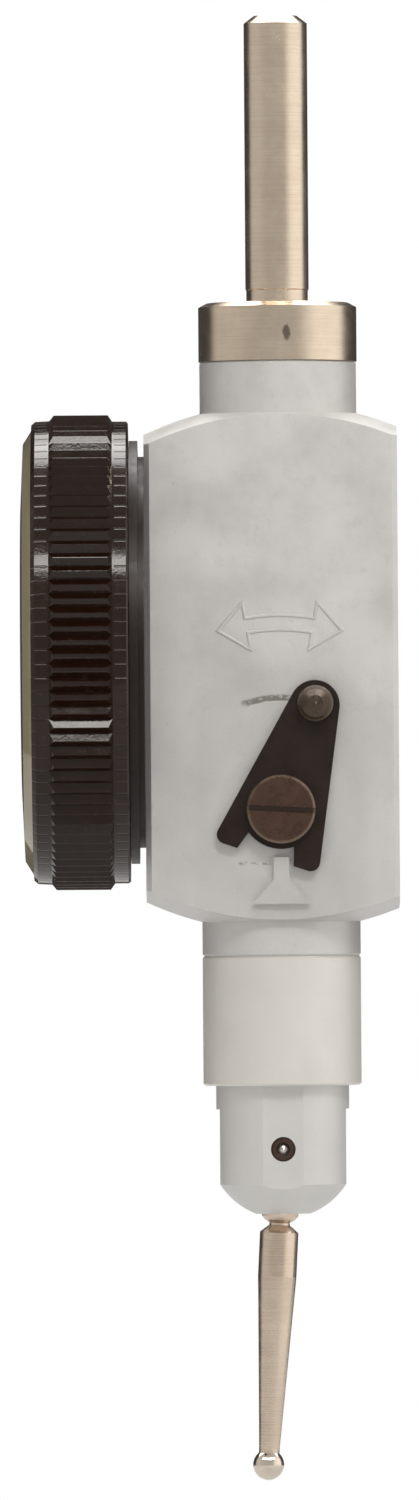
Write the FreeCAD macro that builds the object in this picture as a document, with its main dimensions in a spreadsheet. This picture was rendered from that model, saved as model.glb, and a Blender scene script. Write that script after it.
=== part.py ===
import FreeCAD, Part
import os
import re
import Sketcher
from FreeCAD import Placement, Rotation
from FreeCAD import Vector as V

# Lever-type dial test indicator with a reversing lever. All sizes in millimetres.
# Frame: origin where the stem stands on its collar, +Z up the stem, dial towards -X,
# reversing lever on the -Y face. The stylus swings in the XZ plane.

doc = FreeCAD.newDocument("DialTestIndicator")
sheet = doc.addObject("Spreadsheet::Sheet", "Sizes")

SIZES = {
    # stem and collar, one steel turning
    "stem_d": 4.0,
    "stem_length": 18.17,
    "stem_point_r": 1.37,
    "stem_point_h": 0.48,
    "collar_d": 10.0,
    "collar_h": 3.7,
    "collar_bevel_r": 0.5,
    "collar_bevel_h": 0.27,
    "spigot_d": 5.0,
    "spigot_length": 4.5,
    # housing block, its neck and its boss
    "neck_d": 9.9,
    "neck_h": 3.3,
    "edge_break": 0.12,
    "block_depth": 11.0,
    "dial_reach": 8.5,
    "rear_reach": 7.45,
    "block_h": 32.07,
    "dome_radius": 20.0,
    "dome_start_r": 5.0,
    "corner_break": 0.35,
    "boss_d": 10.0,
    "boss_h": 2.17,
    # movement chamber and its cover
    "front_wall": 1.0,
    "dial_wall": 1.4,
    "rear_wall": 1.85,
    "chamber_above": 10.2,
    "chamber_below": 12.8,
    "chamber_corner": 1.0,
    "cover_thick": 1.0,
    "cover_lip": 0.75,
    "cover_land": 2.2,
    "cover_fit": 0.03,
    # gear train
    "gear_module": 0.2,
    "sector_teeth": 302,
    "lever_pinion_teeth": 12,
    "crown_teeth": 50,
    "dial_pinion_teeth": 8,
    "tooth_share": 0.34,
    "addendum_share": 1.0,
    "dedendum_share": 1.25,
    "measuring_swing": 2.8,
    # places down the axis
    "dial_drop": 22.0,
    "reverser_drop": 10.0,
    "nose_reach": 4.0,
    # sleeve and nose
    "sleeve_d": 10.0,
    "sleeve_bore_d": 6.0,
    "sleeve_spigot_d": 8.0,
    "sleeve_spigot_h": 2.9,
    "nose_spigot_d": 7.0,
    "nose_spigot_h": 4.9,
    "nose_d": 8.4,
    "nose_flats": 8.0,
    "nose_bore_d": 4.8,
    "nose_ball_r": 4.91,
    "nose_ball_rise": 0.3,
    "nose_end_r": 2.17,
    "slot_w": 2.7,
    "slot_above": 2.5,
    "seat_gap": 0.1,
    # stylus pivot
    "bush_d": 1.56,
    "bush_length": 2.4,
    "bush_sunk": 0.03,
    "journal_d": 0.8,
    "arbor_d": 1.2,
    "run_gap": 0.02,
    "side_gap": 0.02,
    "blade_thick": 0.68,
    "hub_r": 1.7,
    "holder_thick": 1.2,
    "holder_r": 2.1,
    # stylus
    "stub_d": 2.36,
    "stub_reach": 4.72,
    "neck_groove_d": 1.3,
    "neck_groove_reach": 4.85,
    "stylus_d": 2.43,
    "stylus_start": 5.32,
    "stylus_straight": 8.1,
    "stylus_thin_d": 1.3,
    "stylus_length": 20.0,
    "ball_d": 1.96,
    "stylus_tilt": 3.0,
    "thread_d": 1.0,
    "thread_depth": 1.6,
    # reversing lever
    "lever_swing": 36.6,
    "lever_gap": 0.05,
    "lever_thick": 0.6,
    "lever_reach": 6.88,
    "lever_round": 1.57,
    "lever_taper": 10.76,
    "prong_reach": 3.17,
    "prong_corner": 0.6,
    "prong_inner": 1.87,
    "notch_r": 2.5,
    "notch_half": 1.49,
    "knob_reach": 7.0,
    "knob_d": 2.25,
    "knob_h": 1.3,
    "knob_tail_d": 0.9,
    "screw_head_d": 4.32,
    "screw_head_h": 0.9,
    "screw_slot_w": 0.34,
    "screw_slot_depth": 0.4,
    "screw_slot_turn": 3.0,
    "screw_d": 1.0,
    "screw_length": 2.4,
    "tang_w": 1.6,
    "shaft_d": 2.5,
    "shaft_collar_d": 3.4,
    "shaft_collar_h": 0.65,
    "reverser_bush_d": 4.0,
    "bush_flange_d": 4.8,
    "bush_flange_h": 0.6,
    "spring_boss_d": 2.0,
    "spring_boss_h": 1.5,
    "wire_d": 0.3,
    "wire_length": 6.6,
    "drive_pin_d": 0.6,
    "drive_pin_reach": 26.9,
    "drive_pin_length": 1.5,
    "stop_h": 0.4,
    "stop_top": 3.0,
    "stop_shoulder": 4.4,
    "stop_foot": 5.95,
    "stop_half": 0.49,
    "stop_foot_half": 1.78,
    "detent_d": 0.45,
    "detent_depth": 0.25,
    # dial carrier, bezel, crystal and dial
    # (every radius below steps in from the knurled band)
    "knurl_d": 30.0,
    "knurl_w": 3.97,
    "knurl_slope": 0.28,
    "back_step": 0.4,
    "flange_step": 1.63,
    "disc_step": 1.01,
    "front_step": 0.35,
    "lip_step": 0.25,
    "lip_wall": 0.3,
    "crystal_shelf": 0.95,
    "hub_step": 2.15,
    "cup_wall": 2.5,
    "screw_inset": 2.5,
    "pointer_short": 2.35,
    "crystal_round": 0.9,
    "crystal_slope": 3.7,
    "boss_disc_h": 0.4,
    "carrier_flange_h": 0.54,
    "bezel_gap": 0.05,
    "carrier_hub_h": 2.3,
    "carrier_floor": 1.4,
    "arbor_hole_d": 3.0,
    "bezel_back_h": 0.99,
    "bezel_front_h": 1.13,
    "bezel_bore_fit": 0.04,
    "dial_thick": 0.4,
    "dial_hole_d": 2.6,
    "dial_gap": 0.3,
    "crystal_rim_h": 1.25,
    "crystal_seat": 1.27,
    "crystal_crown": 0.71,
    "crystal_wall": 1.15,
    "dial_ring_w": 0.6,
    "flute_count": 104,
    "flute_depth": 0.37,
    "flute_half": 0.44,
    "ring_groove_w": 0.4,
    "ring_thick": 0.3,
    "ring_depth": 0.5,
    # pointer and hairspring
    "pointer_tail": 3.2,
    "pointer_thick": 0.15,
    "pointer_half": 0.45,
    "pointer_tip_half": 0.1,
    "pointer_hub_d": 1.8,
    "pointer_hub_h": 0.8,
    "pointer_lift": 0.7,
    "dial_arbor_d": 0.7,
    "pivot_d": 0.4,
    "dial_pinion_w": 1.0,
    "hair_turn": 0.42,
    "hair_thick": 0.1,
    "hair_w": 0.4,
    "hair_start_r": 0.75,
    "collet_h": 0.7,
    "hair_place": 6.75,
    # movement frame
    "plate_h": 1.1,
    "plate_side_gap": 0.2,
    "plate_above": 7.4,
    "plate_below": 6.9,
    "bridge_h": 0.8,
    "bridge_place": 2.4,
    "pillar_d": 1.6,
    "pillar_dx": 9.4,
    "pillar_dz": 11.4,
    "pillar_offset": 0.2,
    "jewel_d": 1.0,
    "jewel_h": 0.55,
    "cock_place": 3.25,
    "cock_thick": 0.7,
    "cock_half": 1.2,
    "cock_foot": 1.9,
    "cock_foot_h": 0.6,
    "crown_arbor_d": 1.0,
    "crown_plate_h": 0.4,
    "crown_face_w": 1.0,
    "crown_hub_d": 2.0,
    "crown_hub_h": 0.9,
    "pinion_w": 0.9,
    # small screws
    "m_head_d": 1.8,
    "m_head_h": 0.5,
    "m_d": 0.9,
    "m_length": 1.6,
    "cover_screw_dx": 9.6,
    "cover_screw_head_d": 2.0,
    "cover_screw_length": 2.4,
}

FORMULAS = {
    "front_y": "block_depth / 2",
    "chamber_front_y": "front_y - front_wall",
    "block_top": "collar_h + neck_h",
    "block_end": "block_top + block_h",
    "boss_end": "block_end + boss_h",
    "dome_rise": "sqrt(dome_radius^2 - dome_start_r^2)",
    "dome_top_c": "block_top + dome_rise",
    "dome_end_c": "block_end - dome_rise",
    "dome_out_r": "sqrt(dial_reach^2 + front_y^2) + 1",
    "dome_out_h": "sqrt(dome_radius^2 - dome_out_r^2)",
    "chamber_top": "dial_drop - chamber_above",
    "chamber_end": "dial_drop + chamber_below",
    "chamber_dial_x": "dial_reach - dial_wall",
    "chamber_rear_x": "rear_reach - rear_wall",
    "cover_in_y": "front_y - cover_thick",
    "gear_span": "gear_module * (sector_teeth + lever_pinion_teeth) / 2",
    "pivot_z": "dial_drop + gear_span",
    "sector_r": "gear_module * sector_teeth / 2",
    "lever_pinion_r": "gear_module * lever_pinion_teeth / 2",
    "crown_r": "gear_module * crown_teeth / 2",
    "dial_pinion_r": "gear_module * dial_pinion_teeth / 2",
    "addendum": "gear_module * addendum_share",
    "dedendum": "gear_module * dedendum_share",
    "tooth_pitch": "gear_module * 3.14159265",
    "tooth_half": "tooth_pitch * tooth_share / 2",
    "sector_step": "360 / sector_teeth",
    "half_swing": "measuring_swing / 2",
    "sleeve_end": "pivot_z - nose_reach",
    "slot_top": "pivot_z - slot_above",
    "ball_c": "pivot_z - nose_ball_rise",
    "nose_side": "ball_c + sqrt(nose_ball_r^2 - (nose_d / 2)^2)",
    "nose_end": "ball_c + sqrt(nose_ball_r^2 - nose_end_r^2)",
    "cheek_y": "nose_flats / 2",
    "blade_y": "holder_thick / 2 + side_gap",
    "blade_out_y": "blade_y + blade_thick",
    "reverser_z": "dial_drop + reverser_drop",
    "half_lever": "lever_swing / 2",
    "lever_c": "cos(lever_taper)",
    "lever_s": "sin(lever_taper)",
    "lever_t": "tan(lever_taper)",
    "lever_half": "lever_round / lever_c + lever_reach * lever_t",
    "prong_up": "prong_reach - prong_corner",
    "prong_cx": "lever_half + prong_up * lever_t - prong_corner / lever_c",
    "notch_up": "sqrt(notch_r^2 - notch_half^2)",
    "lever_in_y": "front_y + lever_gap",
    "lever_out_y": "lever_in_y + lever_thick",
    "knob_x": "knob_reach * sin(half_lever)",
    "knob_z": "reverser_z - knob_reach * cos(half_lever)",
    "bush_in_y": "chamber_front_y - bush_flange_h",
    "shaft_in_y": "bush_in_y - side_gap",
    "spring_y": "shaft_in_y - shaft_collar_h - spring_boss_h / 2",
    "pin_x": "drive_pin_reach * sin(half_swing)",
    "pin_up": "drive_pin_reach * cos(half_swing) - pivot_z + reverser_z",
    "leg_x": "spring_boss_d / 2 + wire_d / 2 + side_gap",
    "leg_in": "leg_x - drive_pin_d / 2 - wire_d / 2 - side_gap",
    "wire_lean": "atan(pin_x / pin_up) + asin(leg_in / sqrt(pin_x^2 + pin_up^2))",
    "shaft_end_y": "shaft_in_y - shaft_collar_h - spring_boss_h",
    "disc_out": "dial_reach + boss_disc_h",
    "flange_out": "disc_out + carrier_flange_h",
    "bezel_back_d": "knurl_d - 2 * back_step",
    "carrier_flange_d": "knurl_d - 2 * flange_step",
    "boss_disc_d": "carrier_flange_d - 2 * disc_step",
    "bezel_front_d": "knurl_d - 2 * front_step",
    "bezel_lip_d": "bezel_front_d - 2 * lip_step",
    "crystal_d": "bezel_lip_d - 2 * lip_wall",
    "crystal_round_r": "crystal_d / 2 - crystal_round",
    "crystal_flat_r": "crystal_round_r - crystal_slope",
    "dial_d": "crystal_d - 2 * crystal_shelf",
    "carrier_hub_d": "dial_d - 2 * hub_step",
    "carrier_cup_d": "carrier_hub_d - 2 * cup_wall",
    "carrier_screw_dz": "carrier_cup_d - 2 * screw_inset",
    "pointer_length": "dial_d / 2 - pointer_short",
    "bezel_back": "flange_out + bezel_gap",
    "bezel_step": "bezel_back + bezel_back_h",
    "knurl_out": "bezel_step + knurl_w",
    "bezel_out": "knurl_out + bezel_front_h",
    "hub_out": "flange_out + carrier_hub_h",
    "carrier_in": "dial_reach + carrier_floor",
    "dial_in": "hub_out + dial_gap",
    "dial_out": "dial_in + dial_thick",
    "crystal_in": "bezel_out - crystal_seat",
    "crystal_out": "bezel_out + crystal_crown",
    "crystal_rim": "crystal_in + crystal_rim_h",
    "crystal_under": "crystal_out - crystal_wall",
    "crystal_fit_r": "dial_d / 2 - dial_ring_w",
    "hub_r_out": "carrier_hub_d / 2",
    "bezel_bore": "hub_r_out + bezel_bore_fit",
    "groove_mid": "flange_out + carrier_hub_h / 2",
    "pointer_in": "dial_out + pointer_lift",
    "pointer_out": "pointer_in + pointer_thick",
    "pointer_hub_out": "pointer_in + pointer_hub_h",
    "dial_pinion_in": "crown_r - dial_pinion_w / 2",
    "dial_pinion_out": "crown_r + dial_pinion_w / 2",
    "cock_in": "cock_place",
    "cock_out": "cock_place + cock_thick",
    "crown_tip_y": "dial_pinion_r - addendum",
    "crown_root_y": "dial_pinion_r + dedendum",
    "crown_back_y": "crown_root_y + crown_plate_h",
    "crown_in_r": "crown_r - crown_face_w / 2",
    "crown_out_r": "crown_r + crown_face_w / 2",
    "plate_in_y": "chamber_front_y - plate_h",
    "plate_dial_x": "chamber_dial_x - plate_side_gap",
    "plate_rear_x": "chamber_rear_x - plate_side_gap",
    "bridge_out_y": "bridge_place + bridge_h",
    "pinion_mid_y": "blade_y + blade_thick / 2",
    "pillar_x0": "pillar_dx / 2 + pillar_offset",
    "pillar_x1": "pillar_dx / 2 - pillar_offset",
    "cover_dial_x": "chamber_dial_x + cover_lip",
    "cover_rear_x": "chamber_rear_x + cover_lip",
    "cover_top": "chamber_top - cover_land",
    "cover_end": "chamber_end + cover_land",
    "cover_mid_x": "(chamber_rear_x - chamber_dial_x) / 2",
}

names = list(SIZES) + list(FORMULAS)


def fill_sheet():
    """Write every driving size, then every size that follows from others."""
    for row, name in enumerate(names, 1):
        sheet.set("A%d" % row, name)
        sheet.set("B%d" % row, str(SIZES[name]) if name in SIZES else "=" + FORMULAS[name])
        sheet.setAlias("B%d" % row, name)
    doc.recompute()


def value(text):
    """Number for a sum of sheet names and numbers, such as '-collar_h - neck_h / 2'."""
    total = 0.0
    for sign, term in re.findall(r"([+-]?)\s*([a-z0-9_.]+(?:\s*[*/]\s*[a-z0-9_.]+)*)", text):
        product = 1.0
        for op, word in re.findall(r"([*/]?)\s*([a-z0-9_.]+)", term):
            number = float(sheet.get(word)) if word in names else float(word)
            product = product / number if op == "/" else product * number
        total += -product if sign == "-" else product
    return total


def bound(text):
    """The same sum as a FreeCAD expression on the sheet."""
    return re.sub(r"[a-z][a-z0-9_]*", lambda m: "Sizes." + m.group(0), text)


def drive(obj, prop, text):
    obj.setExpression(prop, bound(text))


def new_body(label, x="0", y="0", z="0", axis=None, turn="0"):
    """Body at a bound place, turned about an axis by a bound angle."""
    body = doc.addObject("PartDesign::Body", label)
    body.Label = label
    if axis:
        body.Placement = Placement(V(0, 0, 0), Rotation(axis, value(turn) or 1))
        drive(body, "Placement.Rotation.Angle", turn)
    for key, text in (("x", x), ("y", y), ("z", z)):
        if text != "0":
            drive(body, "Placement.Base." + key, text)
    return body


def new_sketch(body, plane, offset="0", turn="0"):
    """Sketch on an origin plane of its body, moved along the plane's normal and turned about it."""
    sketch = body.newObject("Sketcher::SketchObject", body.Label + "_sketch")
    role = plane + "_Plane"
    sketch.AttachmentSupport = [([f for f in body.Origin.OriginFeatures if f.Role == role][0], "")]
    sketch.MapMode = "FlatFace"
    if turn != "0":
        sketch.AttachmentOffset = Placement(V(0, 0, 0), Rotation(V(0, 0, 1), value(turn) or 1))
        drive(sketch, "AttachmentOffset.Rotation.Angle", turn)
    if offset != "0":
        drive(sketch, "AttachmentOffset.Base.z", offset)
    return sketch


def fix(sketch, kind, geo, pos, text):
    k = sketch.addConstraint(Sketcher.Constraint(kind, -1, 1, geo, pos, value(text)))
    if re.search("[a-z]", text):
        drive(sketch, "Constraints[%d]" % k, text)


def loop(sketch, points):
    """Closed outline. A point is (x, y), with "x" or "y" added when only that one is held.
    ("arc", cx, cy, "cw" or "ccw") between two points joins them by an arc about that centre."""
    corners = [p for p in points if p[0] != "arc"]
    arcs = {}
    count = -1
    for p in points:
        if p[0] == "arc":
            arcs[count] = p
        else:
            count += 1
    spots = [V(value(p[0]), value(p[1]), 0) for p in corners]
    total = len(corners)
    ends = []
    for i in range(total):
        a, b = spots[i], spots[(i + 1) % total]
        if i in arcs:
            centre = V(value(arcs[i][1]), value(arcs[i][2]), 0)
            circle = Part.Circle(centre, V(0, 0, 1), (a - centre).Length)
            ccw = arcs[i][3] == "ccw"
            first, last = (a, b) if ccw else (b, a)
            geo = sketch.addGeometry(
                Part.ArcOfCircle(circle, circle.parameter(first), circle.parameter(last)), False)
            ends.append((geo, 1, 2) if ccw else (geo, 2, 1))
        else:
            ends.append((sketch.addGeometry(Part.LineSegment(a, b), False), 1, 2))
    for i in range(total):
        nxt = ends[(i + 1) % total]
        sketch.addConstraint(Sketcher.Constraint("Coincident", ends[i][0], ends[i][2], nxt[0], nxt[1]))
    for i in arcs:
        fix(sketch, "DistanceX", ends[i][0], 3, arcs[i][1])
        fix(sketch, "DistanceY", ends[i][0], 3, arcs[i][2])
    for i, p in enumerate(corners):
        held = p[2] if len(p) > 2 else "xy"
        if "x" in held:
            fix(sketch, "DistanceX", ends[i][0], ends[i][1], p[0])
        if "y" in held:
            fix(sketch, "DistanceY", ends[i][0], ends[i][1], p[1])


def rounded(sketch, x0, y0, x1, y1, r):
    """Rectangle with rounded corners."""
    left, right, low, high = x0 + " + " + r, x1 + " - " + r, y0 + " + " + r, y1 + " - " + r
    loop(sketch, [
        (left, y0, "x"), (right, y0), ("arc", right, low, "ccw"),
        (x1, low, "y"), (x1, high), ("arc", right, high, "ccw"),
        (right, y1, "x"), (left, y1), ("arc", left, high, "ccw"),
        (x0, high, "y"), (x0, low), ("arc", left, low, "ccw")])


def rectangle(sketch, x0, y0, x1, y1):
    loop(sketch, [(x0, y0), (x1, y0), (x1, y1), (x0, y1)])


def circle(sketch, x, y, size, d=True):
    geo = sketch.addGeometry(Part.Circle(V(value(x), value(y), 0), V(0, 0, 1), value(size) / 2), False)
    fix(sketch, "DistanceX", geo, 3, x)
    fix(sketch, "DistanceY", geo, 3, y)
    k = sketch.addConstraint(Sketcher.Constraint("Diameter", geo, value(size)))
    drive(sketch, "Constraints[%d]" % k, size)


def feature(body, kind, sketch, length, back=False, mid=False):
    """Pad along the sketch's normal or Pocket against it; back turns the direction round."""
    made = body.newObject("PartDesign::" + kind, body.Label + "_" + kind.lower())
    made.Profile = sketch
    sketch.Visibility = False
    made.Reversed = back
    made.Midplane = mid
    drive(made, "Length", length)
    if "Invalid" in sketch.State or sketch.Shape.isNull():
        raise RuntimeError("sketch %s does not solve" % sketch.Name)
    before = body.Shape.Volume if kind == "Pocket" else 0
    doc.recompute()
    if kind == "Pocket" and body.Shape.Volume > before - 1e-6:
        print("pocket that cuts nothing:", body.Label, made.Name)
    return made


def pad(body, sketch, length, back=False, mid=False):
    return feature(body, "Pad", sketch, length, back, mid)


def pocket(body, sketch, length, back=False, mid=False):
    return feature(body, "Pocket", sketch, length, back, mid)


def revolve(body, axis, points, kind="Revolution"):
    """Turn an outline of (along, radius) points, in order, about the X, Y or Z axis of the body."""
    sketch = new_sketch(body, "YZ" if axis == "Y" else "XZ")
    turned = []
    for p in points:
        if p[0] == "arc":
            turned.append(("arc", p[2], p[1], "ccw" if p[3] == "cw" else "cw") if axis == "Z" else p)
        elif axis == "Z":
            held = "".join({"x": "y", "y": "x"}[c] for c in p[2]) if len(p) > 2 else "xy"
            turned.append((p[1], p[0], held))
        else:
            turned.append(p)
    loop(sketch, turned)
    doc.recompute()
    if "Invalid" in sketch.State or sketch.Shape.isNull():
        raise RuntimeError("sketch %s does not solve" % sketch.Name)
    made = body.newObject("PartDesign::" + kind, body.Label + "_turned")
    made.Profile = sketch
    made.ReferenceAxis = (sketch, ["V_Axis" if axis == "Z" else "H_Axis"])
    made.Angle = 360
    sketch.Visibility = False
    doc.recompute()
    return made


def turned(label, axis, points, x="0", y="0", z="0"):
    body = new_body(label, x, y, z)
    revolve(body, axis, points)
    return body


def around(body, made, axis, count, angle="360", back=False):
    """Repeat a feature about an axis of the body."""
    pattern = body.newObject("PartDesign::PolarPattern", body.Label + "_pattern")
    pattern.Originals = [made]
    line = [f for f in body.Origin.OriginFeatures if f.Role == axis + "_Axis"][0]
    pattern.Axis = (line, [""])
    pattern.Reversed = back
    if angle == "360":
        pattern.Angle = 360
    else:
        drive(pattern, "Angle", angle)
    if re.search("[a-z]", count):
        drive(pattern, "Occurrences", count)
    else:
        pattern.Occurrences = int(count)
    body.Tip = pattern
    doc.recompute()
    return pattern


def group(label, places):
    """Identical pieces as one object. Each place is (body, x, y, z, axis, angle)."""
    links = []
    for source, x, y, z, axis, angle in places:
        link = doc.addObject("App::Link", source.Label + "_copy")
        link.LinkedObject = source
        link.LinkPlacement = Placement(V(0, 0, 0), Rotation(axis, angle))
        for key, text in (("x", x), ("y", y), ("z", z)):
            if text != "0":
                drive(link, "LinkPlacement.Base." + key, text)
        links.append(link)
    made = doc.addObject("Part::Compound", label)
    made.Label = label
    made.Links = links
    doc.recompute()
    return made


fill_sheet()
parts = []
X, Y, Z = V(1, 0, 0), V(0, 1, 0), V(0, 0, 1)

# ---------------------------------------------------------------- stem
parts.append(turned("stem", "Z", [
    ("-collar_h - spigot_length", "0"), ("-collar_h - spigot_length", "spigot_d / 2"),
    ("-collar_h", "spigot_d / 2"), ("-collar_h", "collar_d / 2 - edge_break"),
    ("-collar_h + edge_break", "collar_d / 2"),
    ("-collar_bevel_h", "collar_d / 2"), ("0", "collar_d / 2 - collar_bevel_r"),
    ("0", "stem_d / 2"),
    ("stem_length - stem_point_h", "stem_d / 2"), ("stem_length", "stem_point_r"),
    ("stem_length", "0")]))

# ---------------------------------------------------------------- housing
housing = new_body("housing")
s = new_sketch(housing, "XY", "-block_end")
loop(s, [("-dial_reach + corner_break", "-front_y"), ("rear_reach - corner_break", "-front_y"),
         ("rear_reach", "-front_y + corner_break"), ("rear_reach", "front_y - corner_break"),
         ("rear_reach - corner_break", "front_y"), ("-dial_reach + corner_break", "front_y"),
         ("-dial_reach", "front_y - corner_break"), ("-dial_reach", "-front_y + corner_break")])
doc.recompute()
pad(housing, s, "block_h")
# both ends are turned to a shallow dome
revolve(housing, "Z", [
    ("-block_top", "dome_start_r"), ("arc", "-dome_top_c", "0", "ccw"),
    ("-dome_top_c + dome_out_h", "dome_out_r", "y"), ("-block_top + 1", "dome_out_r"),
    ("-block_top + 1", "dome_start_r")], "Groove")
revolve(housing, "Z", [
    ("-block_end", "dome_start_r"), ("arc", "-dome_end_c", "0", "cw"),
    ("-dome_end_c - dome_out_h", "dome_out_r", "y"), ("-block_end - 1", "dome_out_r"),
    ("-block_end - 1", "dome_start_r")], "Groove")
revolve(housing, "Z", [
    ("-block_top - 1", "0"), ("-block_top - 1", "neck_d / 2"),
    ("-collar_h - edge_break", "neck_d / 2"), ("-collar_h", "neck_d / 2 - edge_break"),
    ("-collar_h", "0")])
revolve(housing, "Z", [
    ("-block_end + 1", "0"), ("-block_end + 1", "boss_d / 2"),
    ("-boss_end + edge_break", "boss_d / 2"), ("-boss_end", "boss_d / 2 - edge_break"),
    ("-boss_end", "0")])
# socket for the stem's spigot
s = new_sketch(housing, "XY", "-collar_h")
circle(s, "0", "0", "spigot_d")
doc.recompute()
pocket(housing, s, "spigot_length + seat_gap")
# movement chamber, milled from the back, with a rebate for the cover
s = new_sketch(housing, "XZ", "-front_y")
rounded(s, "-chamber_dial_x", "-chamber_end", "chamber_rear_x", "-chamber_top", "chamber_corner")
doc.recompute()
pocket(housing, s, "block_depth - front_wall", True)
s = new_sketch(housing, "XZ", "-front_y")
rounded(s, "-cover_dial_x", "-cover_end", "cover_rear_x", "-cover_top", "chamber_corner")
doc.recompute()
pocket(housing, s, "cover_thick", True)
# seat for the sleeve and the passage for the sector lever
s = new_sketch(housing, "XY", "-boss_end")
circle(s, "0", "0", "sleeve_spigot_d")
doc.recompute()
pocket(housing, s, "sleeve_spigot_h + seat_gap", True)
s = new_sketch(housing, "XY", "-boss_end")
circle(s, "0", "0", "sleeve_bore_d")
doc.recompute()
pocket(housing, s, "boss_end - chamber_end + 1", True)
# hole for the dial arbor's jewel, and the two carrier screws
s = new_sketch(housing, "YZ", "-dial_reach")
circle(s, "0", "-dial_drop", "jewel_d")
circle(s, "0", "-dial_drop + carrier_screw_dz / 2", "m_d")
circle(s, "0", "-dial_drop - carrier_screw_dz / 2", "m_d")
doc.recompute()
pocket(housing, s, "dial_wall + 1", True)
# bore for the reverser's bush and the two detents for the lever's knob
s = new_sketch(housing, "XZ", "front_y")
circle(s, "0", "-reverser_z", "reverser_bush_d")
doc.recompute()
pocket(housing, s, "front_wall + 1")
s = new_sketch(housing, "XZ", "front_y")
circle(s, "-knob_x", "-knob_z", "detent_d")
circle(s, "knob_x", "-knob_z", "detent_d")
doc.recompute()
pocket(housing, s, "detent_depth")
# raised stop between the lever's prongs
s = new_sketch(housing, "XZ", "front_y")
loop(s, [("-stop_foot_half", "-reverser_z - stop_foot"), ("stop_foot_half", "-reverser_z - stop_foot"),
         ("stop_half", "-reverser_z - stop_shoulder"), ("stop_half", "-reverser_z - stop_top"),
         ("-stop_half", "-reverser_z - stop_top"), ("-stop_half", "-reverser_z - stop_shoulder")])
doc.recompute()
pad(housing, s, "stop_h")
# threads of the cover screws and of the movement plate's screws
s = new_sketch(housing, "XZ", "-cover_in_y")
for side in ("-", "+"):
    x = "cover_mid_x %s cover_screw_dx / 2" % side
    circle(s, x, "-chamber_top + cover_land / 2", "m_d")
    circle(s, x, "-chamber_end - cover_land / 2", "m_d")
doc.recompute()
pocket(housing, s, "cover_screw_length", True)
s = new_sketch(housing, "XZ", "chamber_front_y")
circle(s, "plate_rear_x / 2", "-dial_drop + plate_above - m_d", "m_d")
circle(s, "-plate_rear_x / 2", "-dial_drop + plate_above - m_d", "m_d")
doc.recompute()
pocket(housing, s, "m_length - plate_h + seat_gap", True)
parts.append(housing)

cover = new_body("back_cover")
s = new_sketch(cover, "XZ", "-front_y")
rounded(s, "-cover_dial_x + cover_fit", "-cover_end + cover_fit",
        "cover_rear_x - cover_fit", "-cover_top - cover_fit", "chamber_corner")
doc.recompute()
pad(cover, s, "cover_thick")
s = new_sketch(cover, "XZ", "-front_y")
for side in ("-", "+"):
    x = "cover_mid_x %s cover_screw_dx / 2" % side
    circle(s, x, "-chamber_top + cover_land / 2", "m_d")
    circle(s, x, "-chamber_end - cover_land / 2", "m_d")
doc.recompute()
pocket(cover, s, "cover_thick + 1", True)
s = new_sketch(cover, "XZ", "-front_y")
for side in ("-", "+"):
    x = "cover_mid_x %s cover_screw_dx / 2" % side
    circle(s, x, "-chamber_top + cover_land / 2", "cover_screw_head_d")
    circle(s, x, "-chamber_end - cover_land / 2", "cover_screw_head_d")
doc.recompute()
pocket(cover, s, "cover_thick / 2", True)
parts.append(cover)


def small_screw(label, head_d, head_h, length):
    """Slotted screw along its own Y axis, head towards +Y, underside of the head at y = 0."""
    body = turned(label, "Y", [("-" + length, "0"), ("-" + length, "m_d / 2"), ("0", "m_d / 2"),
                               ("0", head_d + " / 2"), (head_h, head_d + " / 2"), (head_h, "0")])
    s = new_sketch(body, "XZ", "-" + head_h.replace(" / ", " / "))
    rectangle(s, "-" + head_d, "-screw_slot_w / 2", head_d, "screw_slot_w / 2")
    doc.recompute()
    pocket(body, s, head_h + " / 2", True)
    return body


cover_screw = small_screw("cover_screw", "cover_screw_head_d", "cover_thick / 2", "cover_screw_length")
places = []
for side in ("-", "+"):
    for z in ("-chamber_top + cover_land / 2", "-chamber_end - cover_land / 2"):
        places.append((cover_screw, "cover_mid_x %s cover_screw_dx / 2" % side,
                       "cover_in_y + cover_thick / 2", z, Y, 40))
parts.append(group("cover_screws", places))

# ---------------------------------------------------------------- sleeve and nose
parts.append(turned("sleeve", "Z", [
    ("-sleeve_end", "nose_spigot_d / 2"), ("-sleeve_end", "sleeve_d / 2 - edge_break"),
    ("-sleeve_end + edge_break", "sleeve_d / 2"),
    ("-boss_end - edge_break", "sleeve_d / 2"), ("-boss_end", "sleeve_d / 2 - edge_break"),
    ("-boss_end", "sleeve_spigot_d / 2"),
    ("-boss_end + sleeve_spigot_h", "sleeve_spigot_d / 2"),
    ("-boss_end + sleeve_spigot_h", "sleeve_bore_d / 2"),
    ("-sleeve_end + nose_spigot_h + seat_gap", "sleeve_bore_d / 2"),
    ("-sleeve_end + nose_spigot_h + seat_gap", "nose_spigot_d / 2")]))

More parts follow.
